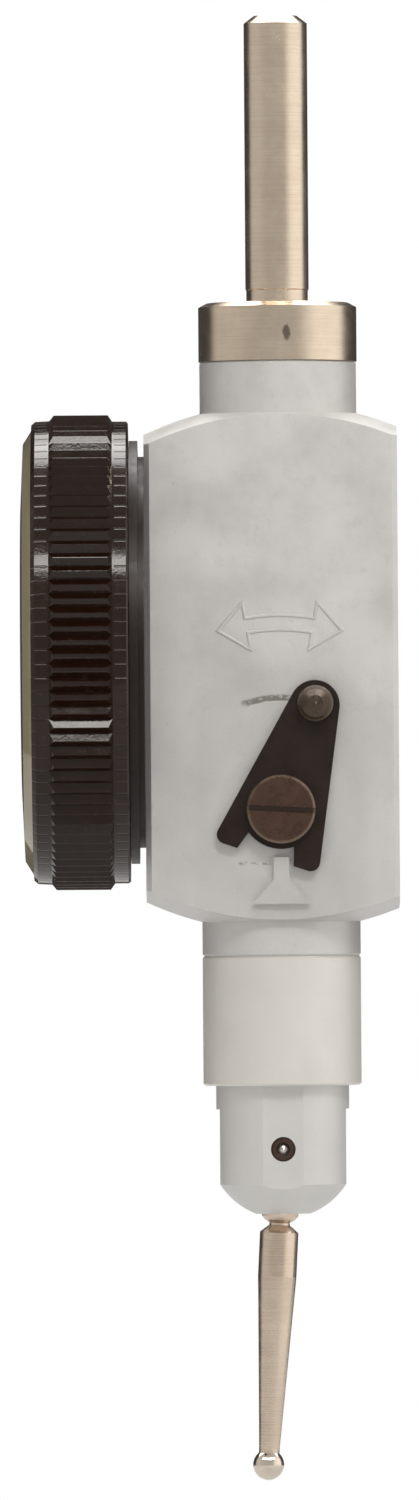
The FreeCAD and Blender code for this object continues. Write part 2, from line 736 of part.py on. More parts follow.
nose = new_body("nose")
revolve(nose, "Z", [
    ("-sleeve_end + nose_spigot_h", "0"), ("-sleeve_end + nose_spigot_h", "nose_spigot_d / 2"),
    ("-sleeve_end", "nose_spigot_d / 2"), ("-sleeve_end", "nose_d / 2"),
    ("-nose_side", "nose_d / 2"), ("arc", "-ball_c", "0", "ccw"),
    ("-nose_end", "nose_end_r", "y"), ("-nose_end", "0")])
s = new_sketch(nose, "XY", "-sleeve_end + nose_spigot_h")
circle(s, "0", "0", "nose_bore_d")
doc.recompute()
pocket(nose, s, "slot_top - sleeve_end + nose_spigot_h + 0.5")
s = new_sketch(nose, "YZ")
rectangle(s, "-slot_w / 2", "-nose_end - 1", "slot_w / 2", "-slot_top")
doc.recompute()
pocket(nose, s, "nose_d + 2", mid=True)
for side in ("-", ""):
    s = new_sketch(nose, "YZ")
    y0, y1 = side + "cheek_y", side + "nose_d"
    if side:
        y0, y1 = y1, y0
    rectangle(s, y0, "-nose_end - 1", y1, "-sleeve_end")
    doc.recompute()
    pocket(nose, s, "nose_d + 2", mid=True)
s = new_sketch(nose, "XZ")
circle(s, "0", "-pivot_z", "bush_d")
doc.recompute()
pocket(nose, s, "nose_d + 2", mid=True)
parts.append(nose)

bush = turned("pivot_bush", "Y", [
    ("0", "journal_d / 2 + run_gap"), ("0", "bush_d / 2 - edge_break"),
    ("edge_break", "bush_d / 2"), ("bush_length", "bush_d / 2"),
    ("bush_length", "journal_d / 2 + run_gap")])
parts.append(group("pivot_bushes", [
    (bush, "0", "-cheek_y + bush_sunk", "-pivot_z", Z, 0),
    (bush, "0", "cheek_y - bush_sunk", "-pivot_z", Z, 180)]))

# ---------------------------------------------------------------- sector lever and its arbor
parts.append(turned("pivot_arbor", "Y", [
    ("-cheek_y + bush_sunk + 0.15", "0"), ("-cheek_y + bush_sunk + 0.3", "journal_d / 2"),
    ("-slot_w / 2 + side_gap", "journal_d / 2"), ("-slot_w / 2 + side_gap", "arbor_d / 2"),
    ("slot_w / 2 - side_gap", "arbor_d / 2"), ("slot_w / 2 - side_gap", "journal_d / 2"),
    ("cheek_y - bush_sunk - 0.3", "journal_d / 2"), ("cheek_y - bush_sunk - 0.15", "0")],
    z="-pivot_z"))

blade = new_body("sector_lever", z="-pivot_z", axis=Y, turn="half_swing")
s = new_sketch(blade, "XZ", "blade_y")
circle(s, "0", "0", "hub_r * 2")
doc.recompute()
pad(blade, s, "blade_thick")
s = new_sketch(blade, "XZ", "blade_y")
loop(s, [("-1.0", "0"), ("1.0", "0"), ("0.62", "sector_r - 3.4"), ("1.9", "sector_r - 1.9"),
         ("2.25", "sector_r - 1.2"), ("2.25", "sector_r - dedendum - 0.15", "x"),
         ("arc", "0", "0", "ccw"),
         ("-2.25", "sector_r - dedendum - 0.15", "x"), ("-2.25", "sector_r - 1.2"),
         ("-1.9", "sector_r - 1.9"), ("-0.62", "sector_r - 3.4")])
k = s.addConstraint(Sketcher.Constraint("Radius", 5, value("sector_r - dedendum")))
drive(s, "Constraints[%d]" % k, "sector_r - dedendum")
doc.recompute()
pad(blade, s, "blade_thick")
s = new_sketch(blade, "XZ", "blade_y", "sector_step * 3")
loop(s, [("-tooth_half * 1.45", "sector_r - dedendum - 0.1"), ("tooth_half * 1.45", "sector_r - dedendum - 0.1"),
         ("tooth_half", "sector_r"), ("tooth_half * 0.5", "sector_r + addendum"),
         ("-tooth_half * 0.5", "sector_r + addendum"), ("-tooth_half", "sector_r")])
doc.recompute()
tooth = pad(blade, s, "blade_thick")
around(blade, tooth, "Y", "7", "sector_step * 6")
s = new_sketch(blade, "XZ", "blade_y")
circle(s, "0", "0", "arbor_d")
circle(s, "0", "drive_pin_reach", "drive_pin_d")
doc.recompute()
pocket(blade, s, "blade_thick + 1", True)
parts.append(blade)

pin = new_body("drive_pin", z="-pivot_z", axis=Y, turn="half_swing")
s = new_sketch(pin, "XZ", "blade_y")
circle(s, "0", "drive_pin_reach", "drive_pin_d")
doc.recompute()
pad(pin, s, "blade_thick + drive_pin_length")
parts.append(pin)

parts.append(turned("friction_washer", "Y", [
    ("holder_thick / 2 + side_gap", "arbor_d / 2"), ("holder_thick / 2 + side_gap + 0.12", "arbor_d / 2"),
    ("holder_thick / 2 + side_gap + 0.27", "holder_r - 0.5"), ("holder_thick / 2 + side_gap + 0.15", "holder_r - 0.5"),
    ("holder_thick / 2 + side_gap", "arbor_d / 2 + 0.3")], z="-pivot_z"))
parts.append(turned("clutch_collar", "Y", [
    ("holder_thick / 2 + side_gap + 0.27", "arbor_d / 2"), ("slot_w / 2 - side_gap - 0.02", "arbor_d / 2"),
    ("slot_w / 2 - side_gap - 0.02", "holder_r - 0.4"), ("holder_thick / 2 + side_gap + 0.27", "holder_r - 0.4")],
    z="-pivot_z"))

# ---------------------------------------------------------------- stylus
holder = new_body("stylus_holder", z="-pivot_z", axis=Y, turn="stylus_tilt")
s = new_sketch(holder, "XZ")
circle(s, "0", "0", "holder_r * 2")
doc.recompute()
pad(holder, s, "holder_thick", mid=True)
revolve(holder, "Z", [
    ("-stub_reach", "0"), ("-stub_reach", "neck_groove_d / 2"), ("-stub_reach + 0.2", "stub_d / 2 - 0.22"),
    ("-stub_reach + 0.42", "stub_d / 2 - 0.05"), ("-stub_reach + 0.7", "stub_d / 2"),
    ("-holder_r", "stub_d / 2"), ("-holder_r + 0.3", "holder_thick / 2"), ("-holder_r + 0.3", "0")])
s = new_sketch(holder, "XZ")
circle(s, "0", "0", "arbor_d + run_gap * 2")
doc.recompute()
pocket(holder, s, "holder_thick + 2", mid=True)
s = new_sketch(holder, "XY", "-stub_reach")
circle(s, "0", "0", "thread_d")
doc.recompute()
pocket(holder, s, "thread_depth + seat_gap", True)
parts.append(holder)

stylus = new_body("stylus", z="-pivot_z", axis=Y, turn="stylus_tilt")
revolve(stylus, "Z", [
    ("-stub_reach + thread_depth", "0"), ("-stub_reach + thread_depth", "thread_d / 2"),
    ("-stub_reach", "thread_d / 2"), ("-stub_reach", "neck_groove_d / 2"),
    ("-neck_groove_reach", "neck_groove_d / 2"), ("-stylus_start + 0.12", "stylus_d / 2 - 0.14"),
    ("-stylus_start", "stylus_d / 2"), ("-stylus_straight", "stylus_d / 2"),
    ("-stylus_length + ball_d / 2", "stylus_thin_d / 2"),
    ("-stylus_length + ball_d / 4", "stylus_thin_d / 2"),
    ("-stylus_length + ball_d / 4", "0")])
tip_cut = body_cut = new_sketch(stylus, "XZ")
loop(tip_cut, [("0", "-stylus_length - ball_d / 2"), ("arc", "0", "-stylus_length", "ccw"),
               ("0", "-stylus_length + ball_d / 2", "x")])
doc.recompute()
cut = stylus.newObject("PartDesign::Groove", "stylus_ball_seat")
cut.Profile = tip_cut
cut.ReferenceAxis = (tip_cut, ["V_Axis"])
cut.Angle = 360
doc.recompute()
parts.append(stylus)

ball = new_body("contact_ball", z="-pivot_z", axis=Y, turn="stylus_tilt")
s = new_sketch(ball, "XZ")
loop(s, [("0", "-stylus_length - ball_d / 2"), ("arc", "0", "-stylus_length", "ccw"),
         ("0", "-stylus_length + ball_d / 2", "x")])
doc.recompute()
made = ball.newObject("PartDesign::Revolution", "ball_turned")
made.Profile = s
made.ReferenceAxis = (s, ["V_Axis"])
made.Angle = 360
doc.recompute()
parts.append(ball)

# ---------------------------------------------------------------- reversing lever
parts.append(turned("reverser_bush", "Y", [
    ("-front_y", "shaft_d / 2 + run_gap"), ("-front_y", "reverser_bush_d / 2"),
    ("-chamber_front_y", "reverser_bush_d / 2"), ("-chamber_front_y", "bush_flange_d / 2"),
    ("-bush_in_y", "bush_flange_d / 2"), ("-bush_in_y", "shaft_d / 2 + run_gap")], z="-reverser_z"))

shaft = new_body("reverser_shaft", z="-reverser_z", axis=Y, turn="half_lever")
revolve(shaft, "Y", [
    ("-lever_in_y", "0"), ("-lever_in_y", "shaft_d / 2"), ("-shaft_in_y", "shaft_d / 2"),
    ("-shaft_in_y", "shaft_collar_d / 2"), ("-shaft_in_y + shaft_collar_h", "shaft_collar_d / 2"),
    ("-shaft_in_y + shaft_collar_h", "spring_boss_d / 2"), ("-shaft_end_y", "spring_boss_d / 2"),
    ("-shaft_end_y", "0")])
s = new_sketch(shaft, "XZ", "lever_in_y")
rectangle(s, "-tang_w / 2", "-tang_w / 2", "tang_w / 2", "tang_w / 2")
doc.recompute()
pad(shaft, s, "lever_thick")
s = new_sketch(shaft, "XZ", "lever_out_y")
circle(s, "0", "0", "screw_d")
doc.recompute()
pocket(shaft, s, "screw_length + seat_gap")
parts.append(shaft)

plate = new_body("lever_plate", z="-reverser_z", axis=Y, turn="half_lever")
s = new_sketch(plate, "XZ", "lever_in_y")
loop(s, [
    ("lever_round * lever_c", "lever_reach + lever_round * lever_s"), ("arc", "0", "lever_reach", "ccw"),
    ("-lever_round * lever_c", "lever_reach + lever_round * lever_s", "y"),
    ("-prong_cx - prong_corner * lever_c", "-prong_up + prong_corner * lever_s"),
    ("arc", "-prong_cx", "-prong_up", "ccw"), ("-prong_cx", "-prong_reach", "x"),
    ("-prong_inner", "-prong_reach"), ("-notch_half", "-notch_up"),
    ("arc", "0", "0", "ccw"), ("notch_half", "-notch_up", "x"),
    ("prong_inner", "-prong_reach"), ("prong_cx", "-prong_reach"), ("arc", "prong_cx", "-prong_up", "ccw"),
    ("prong_cx + prong_corner * lever_c", "-prong_up + prong_corner * lever_s", "y")])
doc.recompute()
pad(plate, s, "lever_thick")
s = new_sketch(plate, "XZ", "lever_in_y")
rectangle(s, "-tang_w / 2", "-tang_w / 2", "tang_w / 2", "tang_w / 2")
circle(s, "0", "knob_reach", "knob_tail_d")
doc.recompute()
pocket(plate, s, "lever_thick + 1", True)
parts.append(plate)

parts.append(turned("lever_knob", "Y", [
    ("-lever_in_y", "0"), ("-lever_in_y", "knob_tail_d / 2"), ("-lever_out_y", "knob_tail_d / 2"),
    ("-lever_out_y", "knob_d / 2"), ("-lever_out_y - knob_h * 0.45", "knob_d / 2"),
    ("-lever_out_y - knob_h * 0.8", "knob_d * 0.4"), ("-lever_out_y - knob_h * 0.95", "knob_d * 0.22"),
    ("-lever_out_y - knob_h", "0")], x="knob_x", z="-knob_z"))

screw = new_body("lever_screw", z="-reverser_z", axis=Y, turn="half_lever")
revolve(screw, "Y", [
    ("-lever_out_y + screw_length", "0"), ("-lever_out_y + screw_length", "screw_d / 2"),
    ("-lever_out_y", "screw_d / 2"), ("-lever_out_y", "screw_head_d / 2"),
    ("-lever_out_y - screw_head_h + edge_break", "screw_head_d / 2"),
    ("-lever_out_y - screw_head_h", "screw_head_d / 2 - edge_break"),
    ("-lever_out_y - screw_head_h", "0")])
s = new_sketch(screw, "XZ", "lever_out_y + screw_head_h", "half_lever - screw_slot_turn")
rectangle(s, "-screw_head_d", "-screw_slot_w / 2", "screw_head_d", "screw_slot_w / 2")
doc.recompute()
pocket(screw, s, "screw_slot_depth")
parts.append(screw)

# fork spring on the reverser's boss: one leg presses on the drive pin, the other waits for the far side
spring = new_body("reversing_spring", z="-reverser_z", axis=Y, turn="wire_lean")
s = new_sketch(spring, "XZ", "spring_y")
circle(s, "0", "0", "spring_boss_d + wire_d * 2 + side_gap * 2")
circle(s, "0", "0", "spring_boss_d + side_gap")
doc.recompute()
pad(spring, s, "wire_d", mid=True)
s = new_sketch(spring, "XY")
circle(s, "-leg_x", "-spring_y", "wire_d")
circle(s, "leg_x", "-spring_y", "wire_d")
doc.recompute()
pad(spring, s, "wire_length")
parts.append(spring)

# ---------------------------------------------------------------- dial carrier, bezel, crystal
carrier = turned("bezel_carrier", "X", [
    ("-dial_reach", "arbor_hole_d / 2"), ("-dial_reach", "boss_disc_d / 2"), ("-disc_out", "boss_disc_d / 2"),
    ("-disc_out", "carrier_flange_d / 2"), ("-flange_out", "carrier_flange_d / 2"),
    ("-flange_out", "hub_r_out"), ("-groove_mid + ring_groove_w / 2", "hub_r_out"),
    ("-groove_mid + ring_groove_w / 2", "hub_r_out - ring_depth"),
    ("-groove_mid - ring_groove_w / 2", "hub_r_out - ring_depth"),
    ("-groove_mid - ring_groove_w / 2", "hub_r_out"), ("-hub_out", "hub_r_out"),
    ("-hub_out", "carrier_cup_d / 2"), ("-carrier_in", "carrier_cup_d / 2"),
    ("-carrier_in", "arbor_hole_d / 2")], z="-dial_drop")
s = new_sketch(carrier, "YZ", "-carrier_in")
circle(s, "0", "carrier_screw_dz / 2", "m_d")
circle(s, "0", "-carrier_screw_dz / 2", "m_d")
doc.recompute()
pocket(carrier, s, "carrier_floor + 1", True)
parts.append(carrier)

ring = turned("snap_ring", "X", [
    ("-groove_mid - ring_thick / 2", "hub_r_out - ring_depth + 0.03"),
    ("-groove_mid - ring_thick / 2", "bezel_bore + ring_depth - 0.08"),
    ("-groove_mid + ring_thick / 2", "bezel_bore + ring_depth - 0.08"),
    ("-groove_mid + ring_thick / 2", "hub_r_out - ring_depth + 0.03")], z="-dial_drop")
s = new_sketch(ring, "YZ", "-groove_mid - ring_thick")
rectangle(s, "-1.2", "0", "1.2", "carrier_hub_d")
doc.recompute()
pocket(ring, s, "ring_thick * 2", True)
parts.append(ring)

bezel = turned("bezel", "X", [
    ("-bezel_back", "bezel_bore"), ("-bezel_back", "bezel_back_d / 2 - edge_break"),
    ("-bezel_back - edge_break", "bezel_back_d / 2"), ("-bezel_step", "bezel_back_d / 2"),
    ("-bezel_step - knurl_slope", "knurl_d / 2"), ("-knurl_out + knurl_slope", "knurl_d / 2"),
    ("-knurl_out", "bezel_front_d / 2"), ("-bezel_out + 0.25", "bezel_front_d / 2 - 0.04"),
    ("-bezel_out", "bezel_lip_d / 2"), ("-bezel_out", "crystal_d / 2"), ("-crystal_in", "crystal_d / 2"),
    ("-crystal_in", "dial_d / 2"), ("-dial_in", "dial_d / 2"), ("-dial_in", "bezel_bore"),
    ("-groove_mid - ring_groove_w / 2 - 0.05", "bezel_bore"),
    ("-groove_mid - ring_groove_w / 2 - 0.05", "bezel_bore + ring_depth"),
    ("-groove_mid + ring_groove_w / 2 + 0.05", "bezel_bore + ring_depth"),
    ("-groove_mid + ring_groove_w / 2 + 0.05", "bezel_bore")], z="-dial_drop")
s = new_sketch(bezel, "YZ", "-bezel_step + 0.1")
loop(s, [("0", "knurl_d / 2 - flute_depth"), ("flute_half * 2", "knurl_d / 2 + flute_depth"),
         ("-flute_half * 2", "knurl_d / 2 + flute_depth")])
doc.recompute()
flute = pocket(bezel, s, "knurl_w + 0.25")
around(bezel, flute, "X", "flute_count")
parts.append(bezel)

parts.append(turned("crystal", "X", [
    ("-crystal_in", "crystal_fit_r"), ("-crystal_in", "crystal_d / 2"), ("-crystal_rim", "crystal_d / 2"),
    ("-crystal_out + 0.17", "crystal_round_r"), ("-crystal_out", "crystal_flat_r"), ("-crystal_out", "0"),
    ("-crystal_under", "0"), ("-crystal_under", "crystal_fit_r")], z="-dial_drop"))

parts.append(turned("dial_face", "X", [
    ("-dial_in", "dial_hole_d / 2"), ("-dial_in", "dial_d / 2"), ("-dial_out", "dial_d / 2"),
    ("-dial_out", "dial_hole_d / 2")], z="-dial_drop"))
parts.append(turned("dial_ring", "X", [
    ("-dial_out", "dial_d / 2 - dial_ring_w"), ("-dial_out", "dial_d / 2"), ("-crystal_in", "dial_d / 2"),
    ("-crystal_in", "dial_d / 2 - dial_ring_w")], z="-dial_drop"))

carrier_screw = turned("carrier_screw", "X", [
    ("m_length + carrier_floor - 0.5", "0"), ("m_length + carrier_floor - 0.5", "m_d / 2"), ("0", "m_d / 2"),
    ("0", "m_head_d / 2"), ("-m_head_h", "m_head_d / 2"), ("-m_head_h", "0")])
s = new_sketch(carrier_screw, "YZ", "-m_head_h")
rectangle(s, "-m_head_d", "-screw_slot_w / 2", "m_head_d", "screw_slot_w / 2")
doc.recompute()
pocket(carrier_screw, s, "m_head_h / 2", True)
parts.append(group("carrier_screws", [
    (carrier_screw, "-carrier_in", "0", "-dial_drop + carrier_screw_dz / 2", X, 25),
    (carrier_screw, "-carrier_in", "0", "-dial_drop - carrier_screw_dz / 2", X, 70)]))

# ---------------------------------------------------------------- movement frame
frame = new_body("movement_plate")
s = new_sketch(frame, "XZ", "plate_in_y")
rounded(s, "-plate_dial_x", "-dial_drop - plate_below", "plate_rear_x", "-dial_drop + plate_above",
        "chamber_corner")
doc.recompute()
pad(frame, s, "plate_h")
s = new_sketch(frame, "XZ", "plate_in_y")
circle(s, "0", "-dial_drop", "jewel_d")
circle(s, "plate_rear_x / 2", "-dial_drop + plate_above - m_d", "m_d")
circle(s, "-plate_rear_x / 2", "-dial_drop + plate_above - m_d", "m_d")
doc.recompute()
pocket(frame, s, "plate_h + 1", True)
parts.append(frame)

pillar = turned("pillar", "Y", [
    ("-plate_in_y", "0"), ("-plate_in_y", "pillar_d / 2"), ("bridge_place", "pillar_d / 2"),
    ("bridge_place", "m_d / 2"), ("bridge_place - m_length", "m_d / 2"), ("bridge_place - m_length", "0")])
corners = []
for x in ("-pillar_x0", "pillar_x1"):
    for z in ("-dial_drop + pillar_dz / 2", "-dial_drop - pillar_dz / 2"):
        corners.append((x, z))
parts.append(group("movement_pillars", [(pillar, x, "0", z, Y, 0) for x, z in corners]))

bridge = new_body("movement_bridge")
s = new_sketch(bridge, "XZ", "-bridge_place")
rounded(s, "-pillar_x0 - pillar_d / 2", "-dial_drop - pillar_dz / 2 - pillar_d / 2",
        "pillar_x1 + pillar_d / 2", "-dial_drop + pillar_dz / 2 + pillar_d / 2", "pillar_d / 2")
doc.recompute()
pad(bridge, s, "bridge_h", True)
s = new_sketch(bridge, "XZ", "-bridge_place")
circle(s, "0", "-dial_drop", "jewel_d")
for x, z in corners:
    circle(s, x, z, "m_d")
doc.recompute()
pocket(bridge, s, "bridge_h + 1")
parts.append(bridge)

movement_screw = small_screw("movement_screw", "m_head_d", "m_head_h", "m_length")
parts.append(group("bridge_screws", [
    (movement_screw, x, "bridge_out_y", z, Y, 20 + 35 * i) for i, (x, z) in enumerate(corners)]))
parts.append(group("plate_screws", [
    (movement_screw, x, "-plate_in_y", "-dial_drop + plate_above - m_d", Y, a)
    for x, a in (("plate_rear_x / 2", 15), ("-plate_rear_x / 2", 60))]))

cock = new_body("pinion_cock")
s = new_sketch(cock, "XZ", "plate_in_y")
rectangle(s, "-cock_out", "-dial_drop - cock_half", "-cock_in", "-dial_drop + cock_half")
doc.recompute()
pad(cock, s, "plate_in_y + jewel_d / 2 + 0.05", True)
s = new_sketch(cock, "XZ", "plate_in_y")
rectangle(s, "-cock_out", "-dial_drop - cock_half", "-cock_in + cock_foot", "-dial_drop + cock_half")
doc.recompute()
pad(cock, s, "cock_foot_h", True)
s = new_sketch(cock, "YZ", "-cock_out")
circle(s, "0", "-dial_drop", "jewel_d * 0.8")
doc.recompute()
pocket(cock, s, "cock_thick + 1", True)
parts.append(cock)

# pierced jewels for the crown arbor and for the dial arbor
jewel = turned("jewel", "Y", [
    ("0", "pivot_d / 2 + run_gap"), ("0", "jewel_d / 2"), ("jewel_h", "jewel_d / 2"),
    ("jewel_h", "pivot_d / 2 + run_gap")])
small_jewel = turned("small_jewel", "X", [
    ("0", "pivot_d / 2 + run_gap"), ("0", "jewel_d * 0.4"), ("jewel_h", "jewel_d * 0.4"),
    ("jewel_h", "pivot_d / 2 + run_gap")])
wall_jewel = turned("wall_jewel", "X", [
    ("0", "dial_arbor_d / 2 - 0.05 + run_gap"), ("0", "jewel_d / 2"), ("jewel_h", "jewel_d / 2"),
    ("jewel_h", "dial_arbor_d / 2 - 0.05 + run_gap")])
parts.append(group("jewels", [
    (jewel, "0", "-plate_in_y - jewel_h", "-dial_drop", Z, 0),
    (jewel, "0", "bridge_place", "-dial_drop", Z, 0),
    (small_jewel, "-cock_out + cock_thick - jewel_h", "0", "-dial_drop", Z, 0),
    (wall_jewel, "-dial_reach + 0.2", "0", "-dial_drop", Z, 0)]))

# ---------------------------------------------------------------- crown arbor and crown gear
arbor = new_body("crown_arbor", z="-dial_drop", axis=V(0, -1, 0),
                 turn="half_swing * sector_teeth / lever_pinion_teeth")
revolve(arbor, "Y", [
    ("-plate_in_y - jewel_h + 0.05", "0"), ("-plate_in_y - jewel_h + 0.05", "pivot_d / 2"),
    ("-plate_in_y + side_gap", "pivot_d / 2"), ("-plate_in_y + side_gap", "crown_arbor_d / 2"),
    ("-pinion_mid_y - pinion_w / 2", "crown_arbor_d / 2"),
    ("-pinion_mid_y - pinion_w / 2", "lever_pinion_r - dedendum"),
    ("-pinion_mid_y + pinion_w / 2", "lever_pinion_r - dedendum"),
    ("-pinion_mid_y + pinion_w / 2", "crown_arbor_d / 2"),
    ("bridge_place - side_gap", "crown_arbor_d / 2"), ("bridge_place - side_gap", "pivot_d / 2"),
    ("bridge_place + jewel_h - 0.05", "pivot_d / 2"), ("bridge_place + jewel_h - 0.05", "0")])
s = new_sketch(arbor, "XZ", "pinion_mid_y", "180 / lever_pinion_teeth")
loop(s, [("tooth_half * 1.1", "-lever_pinion_r + dedendum + 0.1"),
         ("-tooth_half * 1.1", "-lever_pinion_r + dedendum + 0.1"),
         ("-tooth_half", "-lever_pinion_r"), ("-tooth_half * 0.4", "-lever_pinion_r - addendum"),
         ("tooth_half * 0.4", "-lever_pinion_r - addendum"), ("tooth_half", "-lever_pinion_r")])
doc.recompute()
tooth = pad(arbor, s, "pinion_w", mid=True)
around(arbor, tooth, "Y", "lever_pinion_teeth")
parts.append(arbor)

crown = new_body("crown_gear", z="-dial_drop")
revolve(crown, "Y", [
    ("crown_root_y", "crown_arbor_d / 2"), ("crown_root_y", "crown_out_r"), ("crown_back_y", "crown_out_r"),
    ("crown_back_y", "crown_hub_d / 2"), ("crown_back_y + crown_hub_h - crown_plate_h", "crown_hub_d / 2"),
    ("crown_back_y + crown_hub_h - crown_plate_h", "crown_arbor_d / 2")])
s = new_sketch(crown, "YZ", "-crown_out_r")
loop(s, [("crown_root_y + 0.1", "-tooth_half * 1.4"), ("crown_root_y + 0.1", "tooth_half * 1.4"),
         ("dial_pinion_r", "tooth_half"), ("crown_tip_y", "tooth_half * 0.5"),
         ("crown_tip_y", "-tooth_half * 0.5"), ("dial_pinion_r", "-tooth_half")])
doc.recompute()
tooth = pad(crown, s, "crown_face_w")
around(crown, tooth, "Y", "crown_teeth")
parts.append(crown)

# ---------------------------------------------------------------- dial arbor, pointer, hairspring
arbor = new_body("dial_arbor", z="-dial_drop")
revolve(arbor, "X", [
    ("-pointer_hub_out", "0"), ("-pointer_hub_out", "dial_arbor_d / 2 - 0.05"),
    ("-dial_reach + 0.2 + jewel_h + side_gap", "dial_arbor_d / 2 - 0.05"),
    ("-dial_reach + 0.2 + jewel_h + side_gap", "dial_arbor_d / 2"),
    ("-dial_pinion_out", "dial_arbor_d / 2"), ("-dial_pinion_out", "dial_pinion_r - dedendum"),
    ("-dial_pinion_in", "dial_pinion_r - dedendum"), ("-dial_pinion_in", "dial_arbor_d / 2"),
    ("-cock_out - side_gap", "dial_arbor_d / 2"), ("-cock_out - side_gap", "pivot_d / 2"),
    ("-cock_in", "pivot_d / 2"), ("-cock_in", "0")])
s = new_sketch(arbor, "YZ", "-crown_r", "180 / dial_pinion_teeth")
loop(s, [("dial_pinion_r - dedendum - 0.1", "-tooth_half * 1.05"), ("dial_pinion_r", "-tooth_half"),
         ("dial_pinion_r + addendum", "-tooth_half * 0.4"), ("dial_pinion_r + addendum", "tooth_half * 0.4"),
         ("dial_pinion_r", "tooth_half"), ("dial_pinion_r - dedendum - 0.1", "tooth_half * 1.05")])
doc.recompute()
tooth = pad(arbor, s, "dial_pinion_w", mid=True)
around(arbor, tooth, "X", "dial_pinion_teeth")
parts.append(arbor)

parts.append(turned("pointer_hub", "X", [
    ("-pointer_in", "dial_arbor_d / 2 - 0.05"), ("-pointer_in", "pointer_hub_d / 3"),
    ("-pointer_out", "pointer_hub_d / 3"), ("-pointer_out", "pointer_hub_d / 2"),
    ("-pointer_hub_out", "pointer_hub_d / 2"), ("-pointer_hub_out", "dial_arbor_d / 2 - 0.05")],
    z="-dial_drop"))
hand = new_body("pointer", z="-dial_drop", axis=V(-1, 0, 0), turn="36 / 1")
s = new_sketch(hand, "YZ", "-pointer_out")
loop(s, [("-pointer_half", "0"), ("-pointer_half * 1.6", "-pointer_tail"), ("pointer_half * 1.6", "-pointer_tail"),
         ("pointer_half", "0"), ("pointer_tip_half", "pointer_length"), ("-pointer_tip_half", "pointer_length")])
doc.recompute()
pad(hand, s, "pointer_thick")
s = new_sketch(hand, "YZ", "-pointer_out")
circle(s, "0", "0", "pointer_hub_d * 1.3")
doc.recompute()
pad(hand, s, "pointer_thick")
s = new_sketch(hand, "YZ", "-pointer_out")
circle(s, "0", "0", "pointer_hub_d / 1.5")
doc.recompute()
pocket(hand, s, "pointer_thick + 1", True)
parts.append(hand)

parts.append(turned("hairspring_collet", "X", [
    ("-hair_place", "dial_arbor_d / 2"), ("-hair_place", "hair_start_r"),
    ("-hair_place + collet_h", "hair_start_r"), ("-hair_place + collet_h", "dial_arbor_d / 2")],
    z="-dial_drop"))

# flat spiral of half turns, each about one of two centres on the Y axis
hair = new_body("hairspring", z="-dial_drop", axis=X, turn="180 / 1")
s = new_sketch(hair, "YZ", "-hair_place + collet_h / 2")
outer, inner = [], []
for k in range(9):
    base = ("hair_start_r + hair_turn / 2 * %d" if k % 2 == 0 else "-hair_start_r - hair_turn / 2 * %d") % (k - k % 2)
    sign = "+" if k % 2 == 0 else "-"
    outer.append((base + " %s hair_thick" % sign, "0", "xy" if k == 0 else "y"))
    inner.append((base, "0", "xy" if k == 8 else "y"))
points = []
for k in range(9):
    points.append(outer[k])
    if k < 8:
        points.append(("arc", "0" if k % 2 == 0 else "hair_turn / 2", "0", "ccw"))
for k in range(8, -1, -1):
    points.append(inner[k])
    if k > 0:
        points.append(("arc", "hair_turn / 2" if k % 2 == 0 else "0", "0", "cw"))
loop(s, points)
doc.recompute()
pad(hair, s, "hair_w", mid=True)
parts.append(hair)

stud = new_body("hairspring_stud")
s = new_sketch(stud, "XZ", "plate_in_y")
circle(s, "-hair_place + collet_h / 2", "-dial_drop", "hair_w")
doc.recompute()
pad(stud, s, "plate_in_y - hair_start_r - hair_turn * 4 - hair_thick", True)
parts.append(stud)

# ---------------------------------------------------------------- check and write
doc.recompute()
bad = 0
for obj in doc.Objects:
    if "Invalid" in obj.State or "Error" in obj.State:
        print("state", obj.Label, obj.State)
        bad += 1
for obj in parts:
    if obj.Shape.isNull() or not obj.Shape.isValid() or obj.Shape.Volume <= 0:
        print("shape", obj.Label)
        bad += 1
if bad:
    raise RuntimeError("%d objects did not build" % bad)
os.makedirs("parts", exist_ok=True)
for obj in parts:
    obj.Shape.exportStep("parts/%s.step" % obj.Label)
print(len(parts), "parts written")
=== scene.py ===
import math

import bmesh
import bpy
from mathutils import Matrix, Vector


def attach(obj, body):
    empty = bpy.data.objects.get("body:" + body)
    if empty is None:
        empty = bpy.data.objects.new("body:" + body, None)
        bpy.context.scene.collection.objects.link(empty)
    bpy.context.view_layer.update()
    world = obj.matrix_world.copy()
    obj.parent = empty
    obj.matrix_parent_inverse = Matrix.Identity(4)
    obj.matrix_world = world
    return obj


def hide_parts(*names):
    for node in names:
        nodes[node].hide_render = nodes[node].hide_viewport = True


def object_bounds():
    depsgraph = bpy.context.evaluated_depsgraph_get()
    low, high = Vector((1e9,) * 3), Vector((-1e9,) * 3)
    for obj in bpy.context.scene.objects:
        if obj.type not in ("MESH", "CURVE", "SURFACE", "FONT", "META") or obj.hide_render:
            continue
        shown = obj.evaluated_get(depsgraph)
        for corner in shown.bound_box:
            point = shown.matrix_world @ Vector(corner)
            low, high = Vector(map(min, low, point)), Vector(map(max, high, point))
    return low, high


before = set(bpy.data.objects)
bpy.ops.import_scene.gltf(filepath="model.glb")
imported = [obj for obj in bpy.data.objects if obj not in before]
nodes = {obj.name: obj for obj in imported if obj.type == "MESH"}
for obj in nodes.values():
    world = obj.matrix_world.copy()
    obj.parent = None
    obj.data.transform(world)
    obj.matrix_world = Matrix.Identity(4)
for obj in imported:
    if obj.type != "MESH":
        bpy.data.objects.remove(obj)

cad_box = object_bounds()
# the lever pivots here, and its knob and detents lie on this circle about it (metres)
lever_z = -0.032
detent_r = 0.007


